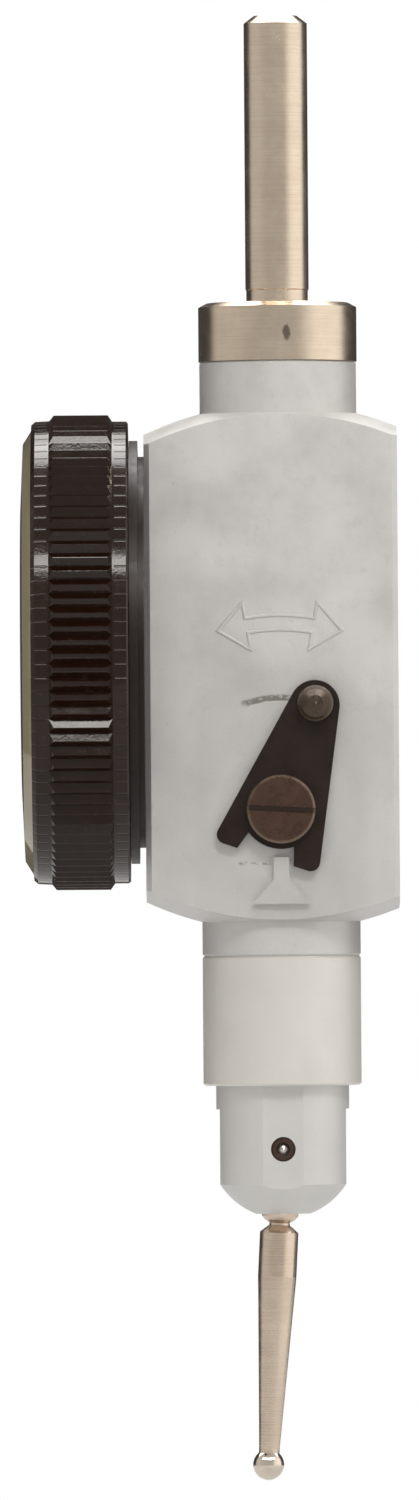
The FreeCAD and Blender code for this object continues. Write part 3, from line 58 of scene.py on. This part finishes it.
# ---------------------------------------------------------------- material building
class Nodes:
    """Short names for building a node material."""

    def __init__(self, name):
        self.mat = bpy.data.materials.new(name)
        self.mat.use_nodes = True
        self.tree = self.mat.node_tree
        self.shader = self.tree.nodes["Principled BSDF"]
        self.coord = self.add("ShaderNodeTexCoord").outputs["Object"]

    def add(self, kind, **props):
        node = self.tree.nodes.new(kind)
        for key, value in props.items():
            setattr(node, key, value)
        return node

    def link(self, a, b):
        self.tree.links.new(a, b)

    def put(self, socket, value):
        if isinstance(value, bpy.types.NodeSocket):
            self.link(value, socket)
        else:
            socket.default_value = value

    def math(self, op, a, b=0.0, c=0.0, clamp=False):
        node = self.add("ShaderNodeMath", operation=op, use_clamp=clamp)
        for socket, value in zip(node.inputs, (a, b, c)):
            self.put(socket, value)
        return node.outputs[0]

    def scaled(self, scale):
        node = self.add("ShaderNodeMapping")
        self.link(self.coord, node.inputs["Vector"])
        node.inputs["Scale"].default_value = scale
        return node.outputs[0]

    def noise(self, scale, detail=4.0, rough=0.6, stretch=(1, 1, 1), distortion=0.0):
        node = self.add("ShaderNodeTexNoise")
        self.link(self.scaled(stretch), node.inputs["Vector"])
        node.inputs["Scale"].default_value = scale
        node.inputs["Detail"].default_value = detail
        node.inputs["Roughness"].default_value = rough
        node.inputs["Distortion"].default_value = distortion
        return node.outputs["Fac"]

    def ramp(self, fac, stops):
        node = self.add("ShaderNodeValToRGB")
        self.link(fac, node.inputs["Fac"])
        ramp = node.color_ramp
        while len(ramp.elements) < len(stops):
            ramp.elements.new(0.5)
        for element, (place, colour) in zip(ramp.elements, stops):
            element.position = place
            element.color = tuple(colour) + (1.0,) if len(colour) == 3 else colour
        return node.outputs["Color"]

    def span(self, fac, low, high, to_low=0.0, to_high=1.0):
        node = self.add("ShaderNodeMapRange", interpolation_type="SMOOTHSTEP")
        self.put(node.inputs["Value"], fac)
        for key, value in (("From Min", low), ("From Max", high), ("To Min", to_low), ("To Max", to_high)):
            node.inputs[key].default_value = value
        return node.outputs["Result"]

    def mix(self, fac, a, b, kind="MIX"):
        node = self.add("ShaderNodeMix", data_type="RGBA", blend_type=kind)
        self.put(node.inputs["Factor"], fac)
        for socket, value in zip([s for s in node.inputs if s.type == "RGBA"], (a, b)):
            if isinstance(value, bpy.types.NodeSocket):
                self.link(value, socket)
            else:
                socket.default_value = tuple(value) + (1.0,)
        return [s for s in node.outputs if s.type == "RGBA"][0]

    def place(self):
        node = self.add("ShaderNodeSeparateXYZ")
        self.link(self.coord, node.inputs[0])
        return node.outputs

    def bump(self, height, distance, strength=1.0):
        node = self.add("ShaderNodeBump")
        self.link(height, node.inputs["Height"])
        node.inputs["Distance"].default_value = distance
        node.inputs["Strength"].default_value = strength
        self.link(node.outputs["Normal"], self.shader.inputs["Normal"])
        return node

    def set(self, **values):
        names = {"colour": "Base Color", "metal": "Metallic", "rough": "Roughness",
                 "spec": "Specular IOR Level", "ior": "IOR",
                 "transmission": "Transmission Weight"}
        for key, value in values.items():
            socket = self.shader.inputs[names[key]]
            if key == "colour" and not isinstance(value, bpy.types.NodeSocket):
                value = tuple(value) + (1.0,)
            self.put(socket, value)
        return self.mat


def srgb(r, g, b):
    """Linear colour of an 8-bit sRGB one."""
    shares = (r / 255, g / 255, b / 255)
    return tuple(c / 12.92 if c <= 0.04045 else ((c + 0.055) / 1.055) ** 2.4 for c in shares)


def satin_aluminium(name, tint=(206, 204, 199), fine=(1, 1, 1)):
    n = Nodes(name)
    cloud = n.noise(260, 5, 0.6)
    grain = n.noise(9000, 3, 0.6, fine)
    tone = n.ramp(cloud, [(0.3, srgb(*[c - 7 for c in tint])), (0.7, srgb(*tint))])
    speck = n.span(n.noise(1500, 4, 0.7), 0.66, 0.78)
    tone = n.mix(n.math("MULTIPLY", speck, 0.25), tone, srgb(168, 165, 158))
    tone = n.mix(0.10, tone, n.ramp(grain, [(0.3, (0.45, 0.45, 0.44)), (0.7, (0.75, 0.75, 0.74))]), "OVERLAY")
    n.bump(grain, 0.000012, 0.5)
    return n.set(colour=tone, metal=0.35, rough=n.span(grain, 0.2, 0.8, 0.40, 0.52))


def turned_steel(name, tint, rough=0.28, along="Z", spots=0.3, mark=None):
    """Nickel-coloured steel with turning lines round its axis."""
    n = Nodes(name)
    stretch = {"Z": (0.15, 0.15, 9), "X": (9, 0.15, 0.15), "Y": (0.15, 9, 0.15)}[along]
    lines = n.noise(1400, 4, 0.7, stretch)
    cloud = n.noise(380, 5, 0.65)
    tone = n.ramp(cloud, [(0.3, srgb(*[c - 14 for c in tint])), (0.7, srgb(*tint))])
    shade = n.ramp(lines, [(0.25, (0.35, 0.34, 0.33)), (0.75, (0.7, 0.69, 0.68))])
    tone = n.mix(0.25, tone, shade, "OVERLAY")
    speck = n.span(n.noise(2600, 3, 0.7), 0.68, 0.8)
    tone = n.mix(n.math("MULTIPLY", speck, spots), tone, srgb(120, 104, 88))
    if mark:
        x, y, z = n.place()
        across = n.math("DIVIDE", n.math("SUBTRACT", x, mark[0]), 0.00028)
        up = n.math("DIVIDE", n.math("SUBTRACT", z, mark[1]), 0.0005)
        far = n.math("SQRT", n.math("ADD", n.math("MULTIPLY", across, across), n.math("MULTIPLY", up, up)))
        far = n.math("ADD", far, n.math("MULTIPLY", n.math("SUBTRACT", n.noise(3500, 4, 0.7), 0.5), 1.4))
        spot = n.math("MULTIPLY", n.span(far, 0.6, 1.1, 1.0, 0.0), n.span(y, -0.003, -0.002, 1.0, 0.0))
        tone = n.mix(n.math("MULTIPLY", spot, 0.8), tone, srgb(92, 82, 72))
    n.bump(lines, 0.00001, 0.5)
    return n.set(colour=tone, metal=1.0, rough=n.span(cloud, 0.3, 0.7, rough - 0.04, rough + 0.06))


def black_gloss(name, tint=(34, 17, 9)):
    """Moulded bezel: glossy near-black brown, with fine ribs that carry the knurl on over its edges."""
    n = Nodes(name)
    cloud = n.noise(900, 4, 0.6)
    tone = n.ramp(cloud, [(0.3, srgb(*[max(c - 8, 0) for c in tint])), (0.7, srgb(*tint))])
    x, y, z = n.place()
    angle = n.math("ARCTAN2", y, n.math("ADD", z, 0.022))
    ribs = n.span(n.math("COSINE", n.math("MULTIPLY", angle, 104)), 0.86, 1.0)
    band = n.math("MAXIMUM", n.span(x, -0.01460, -0.01455, 1.0, 0.0), n.span(x, -0.01035, -0.01030))
    worn = n.math("MULTIPLY", n.span(n.noise(1500, 3, 0.7), 0.60, 0.72), 0.35)
    tone = n.mix(worn, tone, srgb(58, 44, 36))
    height = n.math("ADD", n.math("MULTIPLY", n.math("MULTIPLY", ribs, band), -1.0),
                    n.math("MULTIPLY", n.noise(5000, 3, 0.6), 0.25))
    n.bump(height, 0.00004, 0.6)
    return n.set(colour=tone, metal=0.0, rough=n.span(cloud, 0.3, 0.7, 0.07, 0.13), spec=0.32)


def black_oxide(name, tint=(42, 32, 28)):
    n = Nodes(name)
    cloud = n.noise(1200, 5, 0.65)
    tone = n.ramp(cloud, [(0.25, srgb(*[max(c - 14, 0) for c in tint])), (0.75, srgb(*tint))])
    n.bump(n.noise(7000, 3, 0.6), 0.000008, 0.5)
    return n.set(colour=tone, metal=0.0, rough=n.span(cloud, 0.3, 0.7, 0.36, 0.5), spec=0.25)


def plain_metal(name, tint, rough=0.3, metal=1.0):
    n = Nodes(name)
    grain = n.noise(3000, 4, 0.6)
    tone = n.ramp(grain, [(0.3, srgb(*[max(c - 15, 0) for c in tint])), (0.7, srgb(*tint))])
    n.bump(grain, 0.000008, 0.4)
    return n.set(colour=tone, metal=metal, rough=n.span(grain, 0.3, 0.7, rough - 0.05, rough + 0.05))


def line_mask(n, along, across, start, end, half, soft):
    """1 on a strip from start to end, half wide, with soft edges."""
    inside = n.math("MULTIPLY", n.span(along, start - soft, start), n.span(along, end, end + soft, 1.0, 0.0))
    return n.math("MULTIPLY", inside, n.span(n.math("ABSOLUTE", across), half, half + soft, 1.0, 0.0))


def worn_housing():
    """Satin aluminium with the lever's track and faint stains."""
    n = Nodes("housing_aluminium")
    x, y, z = n.place()
    cloud = n.noise(210, 6, 0.62)
    grain = n.noise(8000, 3, 0.6)
    mottle = n.noise(950, 5, 0.7)
    tone = n.ramp(cloud, [(0.30, srgb(188, 187, 185)), (0.52, srgb(201, 199, 197)),
                          (0.75, srgb(207, 206, 203))])
    tone = n.mix(n.math("MULTIPLY", n.span(mottle, 0.52, 0.72), 0.28), tone, srgb(176, 174, 170))
    # duller towards the bottom
    tone = n.mix(n.span(z, -0.036, -0.016, 0.42, 0.0), tone, srgb(183, 182, 180))
    # the lever's track: a rubbed arc through the left detent; the wider ring where the lever swings is partly
    # wear and partly painted shade
    dx, dz = x, n.math("SUBTRACT", z, lever_z)
    radius = n.math("SQRT", n.math("ADD", n.math("MULTIPLY", dx, dx), n.math("MULTIPLY", dz, dz)))
    front = n.span(y, -0.0052, -0.0054)
    track = line_mask(n, dx, n.math("SUBTRACT", radius, detent_r), -0.0021, 0.0012, 0.00013, 0.00014)
    track = n.math("MULTIPLY", track, n.span(dz, 0.003, 0.004))
    track = n.math("MULTIPLY", track, n.span(n.noise(2600, 4, 0.75), 0.30, 0.52))
    # a wide ring where the lever swings, darkened a little: partly rubbed wear, partly painted soft shade
    # from the lever
    swept_wear_and_shade = line_mask(n, dx, n.math("SUBTRACT", radius, 0.0068), -0.0048, 0.0048, 0.0016, 0.0012)
    rub = line_mask(n, n.math("ADD", dx, n.math("MULTIPLY", dz, 0.55)), n.math("ADD", dz, 0.0034),
                    -0.0045, -0.0026, 0.00004, 0.00012)
    rub = n.math("MULTIPLY", rub, n.span(n.noise(1900, 3, 0.7), 0.42, 0.58))
    marks = n.math("MULTIPLY", front, n.math("MAXIMUM", track, n.math("MULTIPLY", rub, 0.7)))
    tone = n.mix(n.math("MULTIPLY", front, n.math("MULTIPLY", swept_wear_and_shade, 0.16)), tone, srgb(150, 152, 148))
    tone = n.mix(n.math("MULTIPLY", marks, 0.8), tone, srgb(92, 87, 78))
    speck = n.span(n.noise(1700, 3, 0.8), 0.70, 0.76)
    tone = n.mix(n.math("MULTIPLY", speck, 0.35), tone, srgb(140, 136, 128))
    tone = n.mix(0.10, tone, n.ramp(grain, [(0.3, (0.45, 0.45, 0.45)), (0.7, (0.75, 0.75, 0.75))]), "OVERLAY")
    height = n.math("SUBTRACT", n.math("MULTIPLY", grain, 0.4), marks)
    n.bump(height, 0.00003, 0.6)
    return n.set(colour=tone, metal=0.35, rough=n.span(cloud, 0.3, 0.7, 0.40, 0.52))


def turned_black(name, tint, reach, degrees, edge):
    """Dark turned head: a painted highlight ring just inside its edge, and fine circles round its own middle.
    """
    n = Nodes(name)
    x, y, z = n.place()
    a = math.radians(degrees)
    dx = n.math("SUBTRACT", x, reach * math.sin(a))
    dz = n.math("SUBTRACT", z, lever_z + reach * math.cos(a))
    radius = n.math("SQRT", n.math("ADD", n.math("MULTIPLY", dx, dx), n.math("MULTIPLY", dz, dz)))
    cloud = n.noise(1300, 5, 0.65)
    tone = n.ramp(cloud, [(0.25, srgb(*[c * 0.8 for c in tint])), (0.75, srgb(*tint))])
    # painted highlight: a lighter ring just inside the head's edge
    painted_highlight_ring = n.math("MULTIPLY", n.span(radius, edge * 0.90, edge * 0.955), n.span(cloud, 0.2, 0.6, 0.5, 1.0))
    tone = n.mix(n.math("MULTIPLY", painted_highlight_ring, 0.55), tone, srgb(128, 112, 92))
    rings = n.math("SINE", n.math("MULTIPLY", radius, 2 * math.pi / 0.00009))
    n.bump(n.math("ADD", rings, cloud), 0.000004, 0.5)
    return n.set(colour=tone, metal=0.25, rough=n.span(cloud, 0.3, 0.7, 0.24, 0.38), spec=0.45)


aluminium = satin_aluminium("satin_aluminium", (203, 202, 200))
sleeve_metal = satin_aluminium("turned_aluminium", (212, 209, 203), (0.2, 0.2, 4))
stem_metal = turned_steel("stem_steel", (208, 194, 177), 0.22, mark=(0.00056, -0.00199))
stylus_metal = turned_steel("stylus_steel", (208, 192, 176), 0.22, "Z", 0.15)
ball_metal = turned_steel("ball_steel", (214, 204, 192), 0.06, "Z", 0.05)
pivot_black = black_oxide("pivot_black", (66, 50, 42))
bezel_black = black_gloss("bezel_black")
carrier_black = black_oxide("carrier_black", (40, 30, 26))
lever_black = black_oxide("lever_black", (34, 22, 17))
knob_black = turned_black("knob_black", (72, 57, 44), 0.007, 18.3, 0.00112)
screw_black = turned_black("screw_black", (72, 48, 34), 0.0, 0.0, 0.00216)
brass = plain_metal("movement_brass", (206, 178, 120))
steel = plain_metal("small_steel", (190, 186, 180), 0.25)
ruby = plain_metal("ruby", (150, 20, 40), 0.12, 0.0)
dial_white = plain_metal("dial_white", (236, 234, 226), 0.5, 0.0)
paint_black = plain_metal("paint_black", (24, 22, 22), 0.4, 0.0)

n = Nodes("crystal_clear")
haze = n.noise(700, 4, 0.6)
x, y, z = n.place()
dz = n.math("ADD", z, 0.022)
out_r = n.math("SQRT", n.math("ADD", n.math("MULTIPLY", y, y), n.math("MULTIPLY", dz, dz)))
edge = n.span(out_r, 0.0126, 0.0133)
tone = n.mix(edge, n.ramp(haze, [(0.3, (0.95, 0.92, 0.85)), (0.7, (0.97, 0.95, 0.89))]), srgb(158, 146, 120))
crystal_clear = n.set(colour=tone, rough=n.span(haze, 0.3, 0.7, 0.02, 0.06),
                      transmission=n.math("SUBTRACT", 1.0, n.math("MULTIPLY", edge, 0.75)), ior=1.49)

finish = {
    "housing": worn_housing(), "back_cover": aluminium, "nose": aluminium, "sleeve": sleeve_metal,
    "stem": stem_metal, "stylus": stylus_metal, "stylus_holder": stylus_metal, "contact_ball": ball_metal,
    "pivot_bushes": pivot_black, "pivot_arbor": steel, "bezel": bezel_black, "bezel_carrier": carrier_black,
    "lever_plate": lever_black, "lever_knob": knob_black, "lever_screw": screw_black,
    "cover_screws": screw_black, "crystal": crystal_clear, "dial_face": dial_white, "dial_ring": paint_black,
    "pointer": paint_black, "pointer_hub": brass, "jewels": ruby, "movement_plate": brass,
    "movement_bridge": brass, "movement_pillars": brass, "pinion_cock": brass, "crown_gear": brass,
    "hairspring_collet": brass, "hairspring_stud": brass, "sector_lever": brass,
}
for name, obj in nodes.items():
    obj.data.materials.clear()
    obj.data.materials.append(finish.get(name, steel))

# ---------------------------------------------------------------- pieces of the scene
def mesh_piece(name, body, bm, material, smooth=True):
    mesh = bpy.data.meshes.new(name)
    bm.to_mesh(mesh)
    bm.free()
    mesh.materials.append(material)
    for face in mesh.polygons:
        face.use_smooth = smooth
    obj = bpy.data.objects.new(name, mesh)
    bpy.context.scene.collection.objects.link(obj)
    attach(obj, body)
    return obj


def polar(radius, degrees):
    """A place on the lever face, from the lever's pivot and the angle right of straight up."""
    a = math.radians(degrees)
    return Vector((radius * math.sin(a), 0, lever_z + radius * math.cos(a)))


# the stem with the shallow relief groove that is turned at its foot, above the collar
stem_r, relief_r, relief_h = 0.002, 0.001945, 0.00088
stem_top, point_r, point_h = 0.01817, 0.00137, 0.00048
collar_r, collar_h, bevel_r, bevel_h = 0.005, 0.0037, 0.0005, 0.00027
spigot_r, spigot_h = 0.0025, 0.0045
profile = [(0, -collar_h - spigot_h), (spigot_r, -collar_h - spigot_h), (spigot_r, -collar_h),
           (collar_r, -collar_h), (collar_r, -bevel_h), (collar_r - bevel_r, 0), (relief_r, 0),
           (relief_r, relief_h - 0.00008), (stem_r, relief_h), (stem_r, stem_top - point_h),
           (point_r, stem_top), (0, stem_top)]
bm = bmesh.new()
around = 96
loops = []
for r, z in profile:
    if r == 0:
        loops.append([bm.verts.new((0, 0, z))] * around)
    else:
        loops.append([bm.verts.new((r * math.cos(2 * math.pi * k / around),
                                    r * math.sin(2 * math.pi * k / around), z)) for k in range(around)])
for low, high in zip(loops, loops[1:]):
    for k in range(around):
        corners = [low[k], low[(k + 1) % around], high[(k + 1) % around], high[k]]
        bm.faces.new(list(dict.fromkeys(corners)))
bmesh.ops.recalc_face_normals(bm, faces=bm.faces)
stem_piece = mesh_piece("stem_turned", "instrument_body", bm, stem_metal)
stem_piece.data.set_sharp_from_angle(angle=math.radians(20))
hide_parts("stem")

# the double-headed arrow stands up from the face as a thin raised outline
shaft_in, shaft_out, head_in, head_out = 0.01128, 0.0122, 0.0102, 0.0132
head_foot, head_tip, tip_r, stroke = 10.3, 19.1, 0.01188, 0.00013
steps = 16
sweep = [head_foot * (2 * i / steps - 1) for i in range(steps + 1)]
outline = [polar(shaft_out, a) for a in sweep]
outline += [polar(head_out, head_foot), polar(tip_r, head_tip), polar(head_in, head_foot)]
outline += [polar(shaft_in, a) for a in reversed(sweep)]
outline += [polar(head_in, -head_foot), polar(tip_r, -head_tip), polar(head_out, -head_foot)]
bm = bmesh.new()
face_y = -0.0055
rings = []
count = len(outline)
for i, here in enumerate(outline):
    a = (here - outline[i - 1]).normalized()
    b = (outline[(i + 1) % count] - here).normalized()
    side = Vector((-(a + b).z, 0, (a + b).x)).normalized() * stroke
    side /= max(math.sqrt((1 + a.dot(b)) / 2), 0.5)
    foot, crest = Vector((0, face_y + 0.00002, 0)), Vector((0, face_y - 0.00010, 0))
    rings.append([bm.verts.new(here + side + foot), bm.verts.new(here + side * 0.35 + crest),
                  bm.verts.new(here - side * 0.35 + crest), bm.verts.new(here - side + foot)])
for i in range(count):
    one, two = rings[i], rings[(i + 1) % count]
    for j in range(4):
        k = (j + 1) % 4
        bm.faces.new((one[j], two[j], two[k], one[k]))
bmesh.ops.recalc_face_normals(bm, faces=bm.faces)
arrow = mesh_piece("lever_arrow", "instrument_body", bm, aluminium, smooth=False)

# dial marks: a hundred divisions on the face, longer at every fifth and tenth, with plain numbers
dial_x, dial_z = -0.01244, -0.022
bm = bmesh.new()
for i in range(100):
    long = 0.0019 if i % 10 == 0 else 0.0014 if i % 5 == 0 else 0.0009
    half = 0.00009 if i % 10 == 0 else 0.00006
    turn = Matrix.Rotation(math.radians(3.6 * i), 4, "X")
    corners = [(-half, 0.0122 - long), (half, 0.0122 - long), (half, 0.0122), (-half, 0.0122)]
    verts = []
    for y, z in corners:
        v = turn @ Vector((0, y, z))
        verts.append(bm.verts.new((dial_x - 0.00002, v.y, dial_z + v.z)))
    bm.faces.new(verts)
marks = mesh_piece("dial_marks", "bezel_ring", bm, paint_black, smooth=False)
for i in range(10):
    value = 10 * (i if i <= 5 else 10 - i)
    curve = bpy.data.curves.new("number_%d" % i, "FONT")
    curve.body = str(value)
    curve.size = 0.0023
    curve.align_x = "CENTER"
    curve.align_y = "CENTER"
    text = bpy.data.objects.new("number_%d" % i, curve)
    bpy.context.scene.collection.objects.link(text)
    bpy.context.view_layer.update()
    flat = bpy.data.meshes.new_from_object(text.evaluated_get(bpy.context.evaluated_depsgraph_get()))
    bpy.data.objects.remove(text)
    angle = math.radians(36 * i)
    face = Matrix(((0, 0, -1, 0), (-1, 0, 0, 0), (0, 1, 0, 0), (0, 0, 0, 1)))
    flat.transform(Matrix.Translation((dial_x - 0.00002, -0.0088 * math.sin(angle),
                                       dial_z + 0.0088 * math.cos(angle))) @ face)
    bm = bmesh.new()
    bm.from_mesh(flat)
    number = mesh_piece("dial_number_%d" % i, "bezel_ring", bm, paint_black, smooth=False)

# ---------------------------------------------------------------- stage, light, camera
floor_mesh = bpy.data.meshes.new("floor")
s = 0.25
floor_mesh.from_pydata([(-s, -s, 0), (s, -s, 0), (s, s, 0), (-s, s, 0)], [], [(0, 1, 2, 3)])
floor = bpy.data.objects.new("floor", floor_mesh)
bpy.context.scene.collection.objects.link(floor)
floor.location.z = cad_box[0][2] - 0.02
m = Nodes("floor_pale")
tone = m.ramp(m.noise(4, 3, 0.5), [(0.3, (0.86, 0.86, 0.85)), (0.7, (0.89, 0.89, 0.88))])
floor_mesh.materials.append(m.set(colour=tone, rough=0.9))

world = bpy.data.worlds.new("studio")
bpy.context.scene.world = world
world.use_nodes = True
wt = world.node_tree
wt.nodes.clear()


def wn(kind, **props):
    node = wt.nodes.new(kind)
    for key, value in props.items():
        setattr(node, key, value)
    return node


def wmath(op, a, b=0.0, clamp=False):
    node = wn("ShaderNodeMath", operation=op, use_clamp=clamp)
    for socket, value in zip(node.inputs, (a, b)):
        if isinstance(value, bpy.types.NodeSocket):
            wt.links.new(value, socket)
        else:
            socket.default_value = value
    return node.outputs[0]


path = wn("ShaderNodeLightPath")
white = wn("ShaderNodeBackground")
white.inputs["Color"].default_value = (1, 1, 1, 1)
white.inputs["Strength"].default_value = 1.0
ambient = wn("ShaderNodeBackground")
ambient.inputs["Color"].default_value = (1.0, 0.98, 0.95, 1)
ambient.inputs["Strength"].default_value = 0.60
# the light tent as metal sees it: pale in front, bright on the right, dark behind, and strip boxes
gloss = wn("ShaderNodeBackground")
direction = wn("ShaderNodeTexCoord").outputs["Generated"]
split = wn("ShaderNodeSeparateXYZ")
wt.links.new(direction, split.inputs[0])
look_x, look_y, look_z = split.outputs


def wspan(value, low, high, to_low=0.0, to_high=1.0):
    node = wn("ShaderNodeMapRange", interpolation_type="SMOOTHSTEP")
    wt.links.new(value, node.inputs["Value"])
    for key, number in (("From Min", low), ("From Max", high), ("To Min", to_low), ("To Max", to_high)):
        node.inputs[key].default_value = number
    return node.outputs["Result"]


def strip_box(height, half, soft, y_low, y_high, power):
    """A bright band across the tent at one height, where y lies between two values."""
    band = wspan(wmath("ABSOLUTE", wmath("SUBTRACT", look_z, height)), half, half + soft, 1.0, 0.0)
    past_low = wspan(look_y, y_low - 0.08, y_low)
    where = wmath("MULTIPLY", past_low, wspan(look_y, y_high, y_high + 0.08, 1.0, 0.0))
    return wmath("MULTIPLY", wmath("MULTIPLY", band, where), power)


tent = wmath("ADD", wspan(look_x, 0.45, 0.9, 0.64, 1.45), wspan(look_x, -0.95, -0.6, 0.12, 0.0))
tent = wmath("MULTIPLY", tent, wspan(look_y, 0.18, 0.5, 1.0, 0.10))
for box in ((0.70, 0.04, 0.03, -0.8, -0.4, 14.0), (-0.53, 0.03, 0.04, -0.95, -0.6, 10.0),
            (0.79, 0.12, 0.08, 0.30, 0.8, 4.0)):
    tent = wmath("ADD", tent, strip_box(*box))
gloss.inputs["Color"].default_value = (1.0, 0.965, 0.92, 1)
wt.links.new(tent, gloss.inputs["Strength"])
mix_a = wn("ShaderNodeMixShader")
wt.links.new(path.outputs["Is Glossy Ray"], mix_a.inputs[0])
wt.links.new(ambient.outputs[0], mix_a.inputs[1])
wt.links.new(gloss.outputs[0], mix_a.inputs[2])
mix_b = wn("ShaderNodeMixShader")
seen = wmath("MAXIMUM", path.outputs["Is Camera Ray"], path.outputs["Is Transmission Ray"])
wt.links.new(seen, mix_b.inputs[0])
wt.links.new(mix_a.outputs[0], mix_b.inputs[1])
wt.links.new(white.outputs[0], mix_b.inputs[2])
out = wn("ShaderNodeOutputWorld")
wt.links.new(mix_b.outputs[0], out.inputs["Surface"])


def lamp(name, direction, distance, size, power, colour=(1, 1, 1), shine=1.0):
    data = bpy.data.lights.new(name, "AREA")
    data.shape = "RECTANGLE"
    data.size, data.size_y = size
    data.energy = power
    data.color = colour
    data.specular_factor = shine
    obj = bpy.data.objects.new(name, data)
    target = Vector((0, 0, -0.028))
    obj.location = target + Vector(direction).normalized() * distance
    obj.rotation_euler = (target - obj.location).to_track_quat("-Z", "Y").to_euler()
    bpy.context.scene.collection.objects.link(obj)
    return obj


lamp("key", (0.25, -0.72, 0.70), 0.7, (0.30, 0.16), 1.6)
lamp("low_fill", (0.1, -0.85, -0.50), 0.7, (0.22, 0.08), 0.9)
lamp("top", (0.0, 0.45, 0.9), 0.8, (0.5, 0.3), 2.0, shine=0.1)

camera_data = bpy.data.cameras.new("camera")
camera = bpy.data.objects.new("camera", camera_data)
bpy.context.scene.collection.objects.link(camera)
bpy.context.scene.camera = camera
camera_data.sensor_width = 36
camera_data.lens = 36 / 0.0948
aim = Vector((-0.00447, 0, -0.0282))
tilt = math.radians(-0.5)
camera.location = aim + Vector((0, -math.cos(tilt), math.sin(tilt)))
camera.rotation_euler = ((aim - camera.location).to_track_quat("-Z", "Y").to_matrix().to_4x4()
                         @ Matrix.Rotation(math.radians(-0.4), 4, "Z")).to_euler()
camera_data.clip_start = 0.05
camera_data.clip_end = 20

bpy.context.scene.view_settings.view_transform = "Standard"
